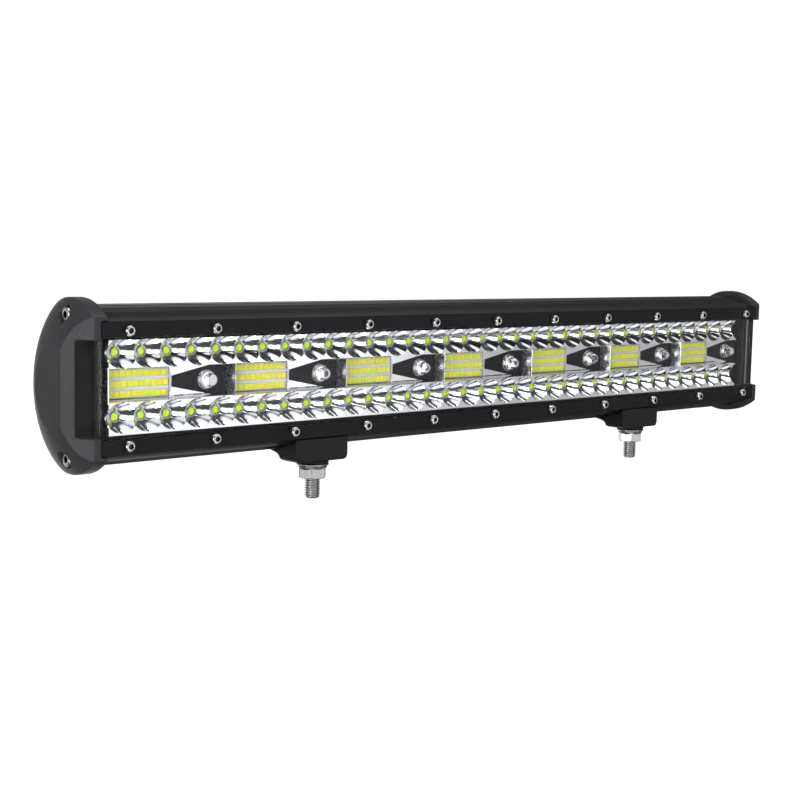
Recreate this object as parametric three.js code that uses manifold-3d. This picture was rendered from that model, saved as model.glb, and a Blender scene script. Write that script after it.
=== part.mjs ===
// LED light bar for vehicles: an extruded housing with two domed end caps, a sealed front
// lens held by two screwed strips, six full reflector modules and a shorter seventh, and two
// sliding mounting feet.
// Millimetres. X runs along the bar, the light leaves towards -Y, +Z is up.
// Inside the group Y = 0 is the outer face of the front strips and Z = 0 is the bar's
// centreline; the group then shifts the origin to the middle of the mounting plane.

import * as THREE from "three";
import { mergeVertices } from "three/addons/utils/BufferGeometryUtils.js";
import Module from "manifold-3d";

const wasm = await Module();
wasm.setup();

// ---- driving dimensions ----------------------------------------------------------------

const GAP = 0.3; // running and assembly clearance between neighbouring pieces

const MODULES = 7;
const MODULE_PITCH = 69;
const LEDS_PER_ROW = 5; // per module
const LED_PITCH = MODULE_PITCH / LEDS_PER_ROW;
const LED_ROW_Z = 14.7;
const LAST_MODULE_LEDS = 4; // the right-hand module is cut short after its round lens
const OPTICS_RISE = 1; // the LEDs and the reflector pockets sit this far above the centreline

const HOUSING_HALF = 242.9; // half length of the extrusion
const HOUSING_TOP = 37; // half height at the widest place
const HOUSING_FRONT = 1.9;
const HOUSING_BACK = 49;
const HOUSING_FRONT_REACH = 34.8; // half axis of the front curve
const WIDEST_Y = 22; // depth at which housing and caps are tallest
const WEB_FRONT = 15.3; // the web carries the board and roots the fins
const WEB_BACK = 21;
const CHAMBER_Z = 21.9;

const LENS_HALF = 247.2;
const LENS_Z = 23.6;
const LENS_THICK = 2.5;
const LENS_SKIRT = 1.6;
const LENS_BACK = 6.5;
const LENS_CORNER = 4.2;
const SEAT_Y = 7.9; // ledge under the lens seal, in the housing and in both caps

const STRIP_HALF = 247.2;
const STRIP_INNER_Z = 23.1;
const STRIP_OUTER_Z = 30.2;
const STRIP_THICK = 1.6;
const STRIP_SCREWS = 11;
const STRIP_SCREW_PITCH = 46.8;
const STRIP_SCREW_Z = 26;

const CAP_INNER = 244.2; // distance of the cap's inner face from the middle
const CAP_RIM = 251; // where the rim turns into the dome
const CAP_FACET = 260.6; // flat face that cuts the dome
const CAP_TOP = 40.3;
const CAP_BACK = 52;
const CAP_FRONT_REACH = 36.2;
const CAP_CHAMFER_DEPTH = 13.8;
const CAP_NOTCH_Z = 21.7;
const CAP_POCKET_X = 247.5;
const CAP_POCKET_Z = 30.5;
const CAP_SCREW_Y = 18.6;
const CAP_SCREW_Z = 32.6;
const CAP_SCREW_SEAT = 251.8;
const CAP_SCREW_HOLE = 2.1; // radius
const CAP_SCREW_SINK = 3.9; // radius of the counterbore

const STRIP_SCREW = { shank: 1.4, length: 8, head: 2.4, height: 2.4, socket: 2, sides: 8 };
const STRIP_SCREW_HOLE = 1.8;
const CAP_SCREW = { shank: 1.6, length: 18, head: 3.3, height: 3, socket: 2.5, sides: 12 };

const SLOT_Y = 10.5; // middle of the T-slot under the housing
const SLOT_HEAD_WIDTH = 10;
const SLOT_NECK_WIDTH = 6.6;
const SLOT_HEAD_TOP = 28.8;
const SLOT_HEAD_BOTTOM = 31;

const FOOT_X = { left: -121, right: 131 };
const FOOT_WIDTH = 33;
const FOOT_FRONT = 1.2;
const FOOT_BASE = 42.5; // depth of the mounting plane below the centreline
const FOOT_REAR = 15.5;
const FOOT_TOE = 27.5;
const FOOT_CORNER = 2.4;
const SOLE_MIDDLE = 8.5; // half length of the sole under the washer
const FOOT_CLEARANCE = 0.4; // under the housing
const FOOT_BOLT_HOLE = 4.3; // radius
const BOLT_Y = 9;
const BOLT_DIAMETER = 7.8; // M8 over the threads, with clearance for the nut
const BOLT_END = 62;
const BOLT_HEAD = 12;
const BOLT_HEAD_THICK = 2.4;
const BOLT_HEAD_TOP = 36.7;
const NUT_ACROSS_FLATS = 13;
const NUT_FLANGE_DIAMETER = 16.6;
const NUT_HEIGHT = 7.6;
const NUT_FLANGE_EDGE = 0.9; // height of the flange's straight edge
const NUT_CONE_END = 2.6; // where the flange's cone meets the hexagon
const NUT_CONE_RADIUS = 6.4;
const NUT_BORE = 4.15; // radius
const WASHER_THICK = 1;
const WASHER_RADIUS = 8.2;
const WASHER_BORE = 4.2; // radius

const GLAND_X = 0;
const VENT_X = 36;
const PAD_HALF = 12; // half side of the flat pads milled into the fins

// ---- materials -------------------------------------------------------------------------

function material(color, roughness, metalness) {
  return new THREE.MeshStandardMaterial({ color, roughness, metalness });
}

const MATERIALS = {
  housing: () => material(0x17181a, 0.42, 0.85),
  cap: () => material(0x2a2b2e, 0.5, 0.8),
  strip: () => material(0x1b1c1f, 0.38, 0.85),
  foot: () => material(0x202122, 0.55, 0.8),
  rubber: () => material(0x0c0c0d, 0.85, 0),
  lens: () => new THREE.MeshStandardMaterial({
    color: 0xeef4f6, roughness: 0.05, metalness: 0, transparent: true, opacity: 0.25,
  }),
  chrome: () => material(0xd9dce2, 0.08, 1),
  board: () => material(0xd8e05a, 0.5, 0.1),
  steel: () => material(0xc9cdd0, 0.25, 1),
  zinc: () => material(0xb9bec1, 0.35, 1),
  nylon: () => material(0x111112, 0.6, 0),
};

// ---- geometry helpers ------------------------------------------------------------------

const X_AXIS = new THREE.Vector3(1, 0, 0);
const Y_AXIS = new THREE.Vector3(0, 1, 0);
const Z_AXIS = new THREE.Vector3(0, 0, 1);

// A closed three.js geometry as a manifold solid.
function solid(geometry) {
  geometry.deleteAttribute("normal");
  geometry.deleteAttribute("uv");
  const merged = mergeVertices(geometry, 1e-4);
  return new wasm.Manifold(new wasm.Mesh({
    numProp: 3,
    vertProperties: new Float32Array(merged.attributes.position.array),
    triVerts: new Uint32Array(merged.index.array),
  }));
}

// A manifold solid back as a three.js geometry.
function geometryOf(body) {
  const mesh = body.getMesh();
  const geometry = new THREE.BufferGeometry();
  geometry.setAttribute("position", new THREE.BufferAttribute(mesh.vertProperties, 3));
  geometry.setIndex(new THREE.BufferAttribute(mesh.triVerts, 1));
  geometry.computeVertexNormals();
  return geometry;
}

function box(x0, x1, y0, y1, z0, z1) {
  const geometry = new THREE.BoxGeometry(x1 - x0, y1 - y0, z1 - z0);
  return solid(geometry.translate((x0 + x1) / 2, (y0 + y1) / 2, (z0 + z1) / 2));
}

// A box mirrored to both sides of the centreline: z0 and z1 are distances from it.
function boxPair(x0, x1, y0, y1, z0, z1) {
  return box(x0, x1, y0, y1, z0, z1).add(box(x0, x1, y0, y1, -z1, -z0));
}

// A round or (with few sides) regular bar along one axis, from a to b on that axis.
function bar(axis, radius, a, b, [u, v], sides, endRadius = radius) {
  const geometry = new THREE.CylinderGeometry(endRadius, radius, b - a, sides);
  geometry.translate(0, (a + b) / 2, 0);
  if (axis === X_AXIS) {
    geometry.rotateZ(-Math.PI / 2).translate(0, u, v);
  } else if (axis === Y_AXIS) {
    geometry.translate(u, 0, v);
  } else {
    geometry.rotateX(Math.PI / 2).translate(u, v, 0);
  }
  return solid(geometry);
}

// A hexagonal bar: sides and across-flats size give the circumscribed radius.
function hexBar(axis, acrossFlats, a, b, centre) {
  return bar(axis, acrossFlats / Math.sqrt(3), a, b, centre, 6);
}

// A (Y, Z) outline swept along X.
function sweepX(points, x0, x1) {
  const shape = new THREE.Shape(points.map(([y, z]) => new THREE.Vector2(y, z)));
  const geometry = new THREE.ExtrudeGeometry(shape, { depth: x1 - x0, bevelEnabled: false });
  geometry.applyMatrix4(new THREE.Matrix4().makeBasis(Y_AXIS, Z_AXIS, X_AXIS));
  return solid(geometry.translate(x0, 0, 0));
}

// An (X, Y) outline swept along Z.
function sweepZ(shape, z0, z1, curveSegments) {
  const settings = { depth: z1 - z0, bevelEnabled: false, curveSegments };
  return solid(new THREE.ExtrudeGeometry(shape, settings).translate(0, 0, z0));
}

// An (X, Z) outline swept along Y.
function sweepY(shape, y0, y1, curveSegments) {
  const settings = { depth: y1 - y0, bevelEnabled: false, curveSegments };
  const geometry = new THREE.ExtrudeGeometry(shape, settings);
  geometry.applyMatrix4(new THREE.Matrix4().makeBasis(X_AXIS, Z_AXIS, Y_AXIS.clone().negate()));
  return solid(geometry.translate(0, y1, 0));
}

// Turned piece along Y: profile points are [radius, y] from low y to high y.
function turnedY(profile, sides) {
  const points = profile.map(([radius, y]) => new THREE.Vector2(radius, y));
  return solid(new THREE.LatheGeometry(points, sides));
}

// The same body on the other side of the middle plane X = 0.
function mirrorX(body) {
  return body.mirror([1, 0, 0]);
}

function union(bodies) {
  return bodies.reduce((whole, next) => whole.add(next));
}

// ---- the two D-shaped outlines ---------------------------------------------------------

// Half height of a D outline at depth y: an elliptic front and a slightly squarer back.
function halfHeight(y, top, frontReach, rearReach) {
  if (y <= WIDEST_Y) {
    return top * Math.sqrt(1 - ((WIDEST_Y - y) / frontReach) ** 2);
  }
  const t = Math.min(1, (y - WIDEST_Y) / rearReach);
  return top * (1 - t ** 2.1) ** (1 / 2.1);
}

const housingHalf = (y) => (
  halfHeight(y, HOUSING_TOP, HOUSING_FRONT_REACH, HOUSING_BACK - WIDEST_Y)
);
const capHalf = (y) => halfHeight(y, CAP_TOP, CAP_FRONT_REACH, CAP_BACK - WIDEST_Y);

// Closed outline of a D shape: up the front, over the top, round the back and underneath.
function outlineD(half, front, back, frontSteps, rearSteps) {
  const upper = [];
  for (let i = 0; i <= frontSteps; i += 1) {
    const y = front + ((WIDEST_Y - front) * i) / frontSteps;
    upper.push([y, half(y)]);
  }
  for (let i = 1; i < rearSteps; i += 1) {
    const angle = (Math.PI / 2) * (i / rearSteps);
    const y = WIDEST_Y + (back - WIDEST_Y) * Math.sin(angle);
    upper.push([y, half(y)]);
  }
  const lower = upper.map(([y, z]) => [y, -z]);
  return [...lower, [back, 0], ...upper.reverse()];
}

// ---- housing ---------------------------------------------------------------------------

const FIN_PITCH = 5.2;
const FIN_SLOT = 3;
const FIN_SLOTS_PER_SIDE = 5;
const GROOVE_WIDTH = 1.1;
const GROOVE_DEPTH = 1.5;
const TOP_GROOVES = [8, 12, 16, 20, 24, 28];
const BOTTOM_GROOVES = [20, 24, 28];
const SCREW_SLOT = 3.3;
const SCREW_SLOT_END = 9.4;
const PORT_RADIUS = 1.9;

function makeHousing() {
  const ends = [-HOUSING_HALF - 1, HOUSING_HALF + 1];
  const outline = outlineD(housingHalf, HOUSING_FRONT, HOUSING_BACK, 7, 9);
  let body = sweepX(outline, -HOUSING_HALF, HOUSING_HALF);
  const cuts = [
    box(...ends, 0, SEAT_Y, -LENS_Z - GAP, LENS_Z + GAP),
    box(...ends, 0, WEB_FRONT, -CHAMBER_Z, CHAMBER_Z),
    boxPair(
      ...ends, 0, SCREW_SLOT_END,
      STRIP_SCREW_Z - SCREW_SLOT / 2, STRIP_SCREW_Z + SCREW_SLOT / 2,
    ),
    // T-slot for the feet: a wide head and a narrow neck
    box(...ends, SLOT_Y - SLOT_HEAD_WIDTH / 2 - GAP, SLOT_Y + SLOT_HEAD_WIDTH / 2 + GAP,
      -SLOT_HEAD_BOTTOM - GAP, -SLOT_HEAD_TOP + GAP),
    box(...ends, SLOT_Y - SLOT_NECK_WIDTH / 2 - GAP, SLOT_Y + SLOT_NECK_WIDTH / 2 + GAP,
      -HOUSING_TOP - 1, -SLOT_HEAD_BOTTOM),
  ];
  for (let i = -FIN_SLOTS_PER_SIDE; i <= FIN_SLOTS_PER_SIDE; i += 1) {
    const z = i * FIN_PITCH;
    cuts.push(box(...ends, WEB_BACK, HOUSING_BACK + 1, z - FIN_SLOT / 2, z + FIN_SLOT / 2));
  }
  const groove = (y, side) => {
    const floor = housingHalf(y) - GROOVE_DEPTH;
    const [low, high] = side > 0 ? [floor, HOUSING_TOP + 1] : [-HOUSING_TOP - 1, -floor];
    cuts.push(box(...ends, y - GROOVE_WIDTH / 2, y + GROOVE_WIDTH / 2, low, high));
  };
  TOP_GROOVES.forEach((y) => groove(y, 1));
  BOTTOM_GROOVES.forEach((y) => groove(y, -1));
  for (const z of [CAP_SCREW_Z, -CAP_SCREW_Z]) {
    cuts.push(bar(X_AXIS, PORT_RADIUS, ...ends, [CAP_SCREW_Y, z], 8));
  }
  // flat pads on the web for the cable gland and the breather, each with its hole
  for (const [x, radius] of [[GLAND_X, GLAND_STEM + GAP], [VENT_X, VENT_STEM + GAP]]) {
    cuts.push(box(x - PAD_HALF, x + PAD_HALF, WEB_BACK, HOUSING_BACK + 1, -PAD_HALF, PAD_HALF));
    cuts.push(bar(Y_AXIS, radius, WEB_FRONT - 1, WEB_BACK + 1, [x, 0], 16));
  }
  for (const cut of cuts) {
    body = body.subtract(cut);
  }
  return body;
}

// ---- end caps and their gaskets --------------------------------------------------------

const DOME_OFFSET = 10; // the dome's centre lies this far inside the rim's edge
const DOME_DEPTH = 21.66; // its half axis along X
const HOLLOW = { front: 11.5, back: 40, half: 24, depth: 250.5 };

// A sphere stretched to the cap's proportions, with its own front and rear half axes.
function makeDome() {
  const geometry = new THREE.SphereGeometry(1, 30, 20);
  geometry.rotateZ(Math.PI / 2);
  const growth = 1 / Math.sqrt(1 - (DOME_OFFSET / DOME_DEPTH) ** 2);
  const position = geometry.attributes.position;
  for (let i = 0; i < position.count; i += 1) {
    const y = position.getY(i);
    const reach = y < 0 ? CAP_FRONT_REACH : CAP_BACK - WIDEST_Y;
    position.setXYZ(
      i,
      DOME_OFFSET - CAP_RIM + position.getX(i) * DOME_DEPTH,
      WIDEST_Y + y * reach * growth,
      position.getZ(i) * CAP_TOP * growth,
    );
  }
  return solid(geometry);
}

// The cap at the -X end; the other one is its mirror image.
function makeCap() {
  const outer = -CAP_FACET - 10;
  const inner = -CAP_INNER + 1;
  let body = sweepX(outlineD(capHalf, 0, CAP_BACK, 8, 10), -CAP_FACET, -CAP_INNER);
  body = body.intersect(makeDome());
  // slanting flat from the front edge of the rim to the facet
  const chamferRun = CAP_FACET - CAP_RIM;
  const chamfer = new THREE.BoxGeometry(40, 80, 100);
  chamfer.translate(-20, 0, 0);
  chamfer.rotateZ(Math.atan2(chamferRun, CAP_CHAMFER_DEPTH));
  chamfer.translate(-CAP_RIM, 0, 0);
  const cuts = [
    solid(chamfer),
    box(outer, inner, -1, SEAT_Y, -CAP_NOTCH_Z, CAP_NOTCH_Z),
    box(-CAP_POCKET_X, inner, -1, SEAT_Y, -CAP_POCKET_Z, CAP_POCKET_Z),
    box(-HOLLOW.depth, inner, HOLLOW.front, HOLLOW.back, -HOLLOW.half, HOLLOW.half),
  ];
  for (const z of [CAP_SCREW_Z, -CAP_SCREW_Z]) {
    cuts.push(bar(X_AXIS, CAP_SCREW_HOLE, outer, inner, [CAP_SCREW_Y, z], 12));
    cuts.push(bar(X_AXIS, CAP_SCREW_SINK, outer, -CAP_SCREW_SEAT, [CAP_SCREW_Y, z], 16));
  }
  for (const cut of cuts) {
    body = body.subtract(cut);
  }
  return body;
}

function makeCapGasket() {
  const [x0, x1] = [-CAP_INNER + GAP, -HOUSING_HALF - GAP];
  const inset = (y) => housingHalf(y) - 0.8;
  const sheet = sweepX(outlineD(inset, SEAT_Y + GAP, HOUSING_BACK - 1, 6, 8), x0, x1);
  const holes = [
    box(x0 - 1, x1 + 1, HOLLOW.front, HOLLOW.back, -HOLLOW.half, HOLLOW.half),
    ...[1, -1].map((side) => (
      bar(X_AXIS, CAP_SCREW_HOLE, x0 - 1, x1 + 1, [CAP_SCREW_Y, side * CAP_SCREW_Z], 12)
    )),
    // clear of the T-slot, so that a foot can be slid out once the cap is off
    box(
      x0 - 1, x1 + 1, SEAT_Y, SLOT_Y + SLOT_HEAD_WIDTH / 2 + GAP,
      -HOUSING_TOP, -SLOT_HEAD_TOP + GAP,
    ),
  ];
  return holes.reduce((body, hole) => body.subtract(hole), sheet);
}

// ---- lens, its seal and the two strips that hold it ------------------------------------

// Bar-long outline in plan with rounded front corners.
function trayOutline(half, front, back, corner) {
  const shape = new THREE.Shape();
  shape.moveTo(-half, back);
  shape.lineTo(-half, front + corner);
  shape.absarc(-half + corner, front + corner, corner, Math.PI, 1.5 * Math.PI, false);
  shape.lineTo(half - corner, front);
  shape.absarc(half - corner, front + corner, corner, 1.5 * Math.PI, 2 * Math.PI, false);
  shape.lineTo(half, back);
  shape.closePath();
  return shape;
}

function makeLens() {
  const front = STRIP_THICK + GAP;
  const outer = sweepZ(trayOutline(LENS_HALF, front, LENS_BACK, LENS_CORNER), -LENS_Z, LENS_Z, 6);
  const hollow = trayOutline(
    LENS_HALF - LENS_SKIRT, front + LENS_THICK, LENS_BACK + 1, LENS_CORNER - LENS_SKIRT,
  );
  return outer.subtract(sweepZ(hollow, -LENS_Z + LENS_SKIRT, LENS_Z - LENS_SKIRT, 6));
}

function makeSeal() {
  const [y0, y1] = [LENS_BACK + GAP, SEAT_Y - GAP];
  const ring = box(-LENS_HALF, LENS_HALF, y0, y1, -LENS_Z, LENS_Z);
  const [x, z] = [LENS_HALF - LENS_SKIRT, LENS_Z - LENS_SKIRT];
  return ring.subtract(box(-x, x, y0 - 1, y1 + 1, -z, z));
}

const stripScrewX = (i) => (i - (STRIP_SCREWS - 1) / 2) * STRIP_SCREW_PITCH;

function makeStrip(side) {
  const [low, high] = side > 0 ? [STRIP_INNER_Z, STRIP_OUTER_Z] : [-STRIP_OUTER_Z, -STRIP_INNER_Z];
  let body = box(-STRIP_HALF, STRIP_HALF, 0, STRIP_THICK, low, high);
  for (let i = 0; i < STRIP_SCREWS; i += 1) {
    const centre = [stripScrewX(i), side * STRIP_SCREW_Z];
    body = body.subtract(bar(Y_AXIS, STRIP_SCREW_HOLE, -1, STRIP_THICK + 1, centre, 8));
  }
  return body;
}

// Socket-head screw along +Y with the underside of its head at y = 0.
function makeScrew({ shank, length, head, height, socket, sides }) {
  const chamfer = 0.3;
  const profile = [
    [0, -height],
    [head - chamfer, -height],
    [head, -height + chamfer],
    [head, 0],
    [shank, 0],
    [shank, length],
    [0, length],
  ];
  const body = turnedY(profile, sides);
  return body.subtract(hexBar(Y_AXIS, socket, -height - 1, -height * 0.35, [0, 0]));
}

// ---- optics ----------------------------------------------------------------------------

const REFLECTOR_HALF = MODULE_PITCH / 2 - GAP;
const REFLECTOR_FRONT = STRIP_THICK + GAP + LENS_THICK + GAP;
const REFLECTOR_BACK = 12.2;
const REFLECTOR_Z = 21.2;
const CUP_MOUTH = 5.4;
const CUP_THROAT = 2.9;
const CUP_SIDES = 8;
const BOARD_FRONT = REFLECTOR_BACK + GAP;
const BOARD_BACK = WEB_FRONT - GAP;
const BOARD_HALF = 241.3;
const BOARD_Z = 21.3;
const EMITTER = { size: 3.5, rise: 0.9 };
const TROUGH = { from: -33.2, to: 1.9, half: 7 }; // around the three chip strips
const WEDGE = { from: 3.2, flare: 25.6, to: 33.6, narrow: 2.4, wide: 7.2 }; // round lens
const CHIP_STRIP = { from: -31.2, length: 31.6, width: 3.1, pitch: 4.75, stagger: 1 };
const PROJECTOR = { x: 22.8, base: 4.5, skirt: 1.6, nose: 3.2, height: 7.1 };
const END_MARGIN = 10.8; // from the last LED of the short module to its end

const moduleX = (index) => (index - (MODULES - 1) / 2) * MODULE_PITCH;
const ledX = (index) => (index - (LEDS_PER_ROW - 1) / 2) * LED_PITCH;

const ledsIn = (module) => (module === MODULES - 1 ? LAST_MODULE_LEDS : LEDS_PER_ROW);

function makeReflector(leds, rightEnd) {
  const [y0, y1] = [REFLECTOR_FRONT, REFLECTOR_BACK];
  let body = box(-REFLECTOR_HALF, rightEnd, y0, y1, -REFLECTOR_Z, REFLECTOR_Z);
  for (let i = 0; i < leds; i += 1) {
    for (const side of [1, -1]) {
      const centre = [ledX(i), OPTICS_RISE + side * LED_ROW_Z];
      const cup = bar(Y_AXIS, CUP_MOUTH, y0, y1 + 0.01, centre, CUP_SIDES, CUP_THROAT);
      body = body.subtract(cup);
    }
  }
  const [low, high] = [OPTICS_RISE - TROUGH.half, OPTICS_RISE + TROUGH.half];
  body = body.subtract(box(TROUGH.from, TROUGH.to, y0 - 1, y1 + 1, low, high));
  const wedge = new THREE.Shape([
    new THREE.Vector2(WEDGE.from, -WEDGE.narrow),
    new THREE.Vector2(WEDGE.flare, -WEDGE.wide),
    new THREE.Vector2(WEDGE.to, -WEDGE.wide),
    new THREE.Vector2(WEDGE.to, WEDGE.wide),
    new THREE.Vector2(WEDGE.flare, WEDGE.wide),
    new THREE.Vector2(WEDGE.from, WEDGE.narrow),
  ]);
  return body.subtract(sweepY(wedge, y0 - 1, y1 + 1).translate([0, 0, OPTICS_RISE]));
}

// Bullet-shaped projector lens, foot on the board, nose towards -Y.
function makeProjectorLens() {
  const foot = BOARD_FRONT - GAP;
  const nose = foot - PROJECTOR.height;
  const profile = [[0, nose]];
  const steps = 4;
  for (let i = 1; i <= steps; i += 1) {
    const angle = (Math.PI / 2) * (i / steps);
    const { nose: radius } = PROJECTOR;
    profile.push([radius * Math.sin(angle), nose + radius * (1 - Math.cos(angle))]);
  }
  profile.push([PROJECTOR.base, foot - PROJECTOR.skirt], [PROJECTOR.base, foot], [0, foot]);
  return turnedY(profile, 12);
}

function makeBoard() {
  const parts = [box(-BOARD_HALF, BOARD_HALF, BOARD_FRONT, BOARD_BACK, -BOARD_Z, BOARD_Z)];
  const bump = (x, z, width, height) => {
    const front = BOARD_FRONT - EMITTER.rise;
    const [w, h] = [width / 2, height / 2];
    parts.push(box(x - w, x + w, front, BOARD_FRONT + 0.5, z - h, z + h));
  };
  for (let m = 0; m < MODULES; m += 1) {
    const x = moduleX(m);
    for (let i = 0; i < ledsIn(m); i += 1) {
      bump(x + ledX(i), OPTICS_RISE + LED_ROW_Z, EMITTER.size, EMITTER.size);
      bump(x + ledX(i), OPTICS_RISE - LED_ROW_Z, EMITTER.size, EMITTER.size);
    }
    for (const row of [-1, 0, 1]) {
      const start = x + CHIP_STRIP.from + (row === 0 ? CHIP_STRIP.stagger : 0);
      const middle = start + CHIP_STRIP.length / 2;
      const z = OPTICS_RISE + row * CHIP_STRIP.pitch;
      bump(middle, z, CHIP_STRIP.length, CHIP_STRIP.width);
    }
  }
  return union(parts);
}

// ---- mounting feet and their hardware --------------------------------------------------

// Foot outline in (Y, Z): flat base, concave rear, a top that follows the housing's
// underside and a T-shaped tongue that runs in the slot.
function footOutline() {
  const under = (y) => -housingHalf(y) - FOOT_CLEARANCE;
  const [neck0, neck1] = [SLOT_Y - SLOT_NECK_WIDTH / 2, SLOT_Y + SLOT_NECK_WIDTH / 2];
  const [head0, head1] = [SLOT_Y - SLOT_HEAD_WIDTH / 2, SLOT_Y + SLOT_HEAD_WIDTH / 2];
  const points = [
    [FOOT_FRONT, -STRIP_OUTER_Z - FOOT_CLEARANCE],
    [FOOT_FRONT, -FOOT_BASE + 1],
  ];
  points.push([FOOT_FRONT + 1, -FOOT_BASE], [FOOT_REAR - 2, -FOOT_BASE]);
  points.push([FOOT_REAR - 0.5, -FOOT_BASE + 0.6], [FOOT_REAR, -FOOT_BASE + 1.8]);
  const toeBottom = under(FOOT_TOE) - 0.9;
  const steps = 5;
  for (let i = 1; i <= steps; i += 1) {
    const angle = (Math.PI / 2) * (i / steps);
    const rise = toeBottom + FOOT_BASE - 1.8;
    points.push([
      FOOT_REAR + (FOOT_TOE - FOOT_REAR) * (1 - Math.cos(angle)),
      -FOOT_BASE + 1.8 + rise * Math.sin(angle),
    ]);
  }
  for (const y of [FOOT_TOE, 22, 18, neck1]) {
    points.push([y, under(y)]);
  }
  points.push([neck1, -SLOT_HEAD_BOTTOM], [head1, -SLOT_HEAD_BOTTOM], [head1, -SLOT_HEAD_TOP]);
  points.push([head0, -SLOT_HEAD_TOP], [head0, -SLOT_HEAD_BOTTOM], [neck0, -SLOT_HEAD_BOTTOM]);
  for (const y of [neck0, 4.5, HOUSING_FRONT]) {
    points.push([y, under(y)]);
  }
  return points;
}

function makeFoot() {
  const half = FOOT_WIDTH / 2;
  const corner = FOOT_CORNER;
  const front = new THREE.Shape();
  front.moveTo(-half, 0);
  front.lineTo(-half, -FOOT_BASE + corner);
  front.absarc(-half + corner, -FOOT_BASE + corner, corner, Math.PI, 1.5 * Math.PI, false);
  front.lineTo(half - corner, -FOOT_BASE);
  front.absarc(half - corner, -FOOT_BASE + corner, corner, 1.5 * Math.PI, 2 * Math.PI, false);
  front.lineTo(half, 0);
  front.closePath();
  // swept in three lengths, so that the sole clear of the washer is a face of its own
  const cuts = [-half, -SOLE_MIDDLE, SOLE_MIDDLE, half];
  const lengths = [0, 1, 2].map((i) => sweepX(footOutline(), cuts[i], cuts[i + 1]));
  const body = union(lengths).intersect(sweepY(front, -5, 60, 4));
  const pocket = BOLT_HEAD / 2 + 0.25;
  const floor = -BOLT_HEAD_TOP - BOLT_HEAD_THICK - GAP;
  return body
    .subtract(box(-pocket, pocket, BOLT_Y - pocket, BOLT_Y + pocket, floor, 0))
    .subtract(bar(Z_AXIS, FOOT_BOLT_HOLE, -FOOT_BASE - 1, floor + 1, [0, BOLT_Y], 16));
}

// Square-headed bolt that hangs in the foot's pocket with its thread pointing down.
function makeBolt() {
  const half = BOLT_HEAD / 2;
  const top = -BOLT_HEAD_TOP;
  const radius = BOLT_DIAMETER / 2;
  const head = box(-half, half, BOLT_Y - half, BOLT_Y + half, top - BOLT_HEAD_THICK, top);
  const shank = bar(Z_AXIS, radius, -BOLT_END + 1, top - 1, [0, BOLT_Y], 16);
  const tip = bar(Z_AXIS, radius - 0.9, -BOLT_END, -BOLT_END + 1, [0, BOLT_Y], 16, radius);
  return union([head, shank, tip]);
}

function makeWasher() {
  const top = -FOOT_BASE - GAP;
  const disc = bar(Z_AXIS, WASHER_RADIUS, top - WASHER_THICK, top, [0, BOLT_Y], 20);
  return disc.subtract(bar(Z_AXIS, WASHER_BORE, top - 3, top + 1, [0, BOLT_Y], 16));
}

function makeFlangeNut() {
  const top = -FOOT_BASE - GAP - WASHER_THICK - GAP;
  const radius = NUT_FLANGE_DIAMETER / 2;
  const centre = [0, BOLT_Y];
  return union([
    bar(Z_AXIS, radius, top - NUT_FLANGE_EDGE, top, centre, 20),
    bar(Z_AXIS, NUT_CONE_RADIUS, top - NUT_CONE_END, top - NUT_FLANGE_EDGE, centre, 20, radius),
    hexBar(Z_AXIS, NUT_ACROSS_FLATS, top - NUT_HEIGHT, top - 1, centre),
  ]).subtract(bar(Z_AXIS, NUT_BORE, top - NUT_HEIGHT - 1, top + 1, centre, 16));
}

// ---- cable gland and breather ----------------------------------------------------------

const GLAND_STEM = 5.7;
const GLAND_FLATS = 15;
const GLAND_NECK = 6.4;
const GLAND_DOME = { wide: 7.2, narrow: 4.6 };
const CABLE_BORE = 2.7; // radius, for a 5 mm cable
const VENT_STEM = 3.7;
const VENT_FLATS = 11;
const VENT_CAP = { wide: 5.2, narrow: 4.4 };
const STEM_FRONT = WEB_FRONT + 0.5;

function makeGland() {
  const seat = WEB_BACK + GAP;
  const centre = [GLAND_X, 0];
  return union([
    bar(Y_AXIS, GLAND_STEM, STEM_FRONT, seat + 1, centre, 16),
    hexBar(Y_AXIS, GLAND_FLATS, seat, seat + 4, centre),
    bar(Y_AXIS, GLAND_NECK, seat + 3.5, seat + 8, centre, 16),
    hexBar(Y_AXIS, GLAND_FLATS, seat + 6, seat + 13, centre),
    bar(Y_AXIS, GLAND_DOME.wide, seat + 12.5, seat + 17, centre, 16, GLAND_DOME.narrow),
  ]).subtract(bar(Y_AXIS, CABLE_BORE, STEM_FRONT - 1, seat + 18, centre, 12));
}

function makeVent() {
  const seat = WEB_BACK + GAP;
  const centre = [VENT_X, 0];
  return union([
    bar(Y_AXIS, VENT_STEM, STEM_FRONT, seat + 1, centre, 16),
    hexBar(Y_AXIS, VENT_FLATS, seat, seat + 2.5, centre),
    bar(Y_AXIS, VENT_CAP.wide, seat + 2, seat + 6, centre, 16, VENT_CAP.narrow),
  ]);
}

// ---- assembly --------------------------------------------------------------------------

const lightBar = new THREE.Group();
lightBar.position.set(0, -BOLT_Y, FOOT_BASE);

function place(name, body, finish, [x, y, z] = [0, 0, 0], turn = 0) {
  const mesh = new THREE.Mesh(geometryOf(body), MATERIALS[finish]());
  mesh.name = name;
  mesh.position.set(x, y, z);
  mesh.rotation.z = turn;
  lightBar.add(mesh);
}

const cap = makeCap();
const gasket = makeCapGasket();
place("housing", makeHousing(), "housing");
place("left_end_cap", cap, "cap");
place("right_end_cap", mirrorX(cap), "cap");
place("left_end_gasket", gasket, "rubber");
place("right_end_gasket", mirrorX(gasket), "rubber");
place("lens_cover", makeLens(), "lens");
place("lens_seal", makeSeal(), "rubber");
place("top_strip", makeStrip(1), "strip");
place("bottom_strip", makeStrip(-1), "strip");
place("led_board", makeBoard(), "board");

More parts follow.
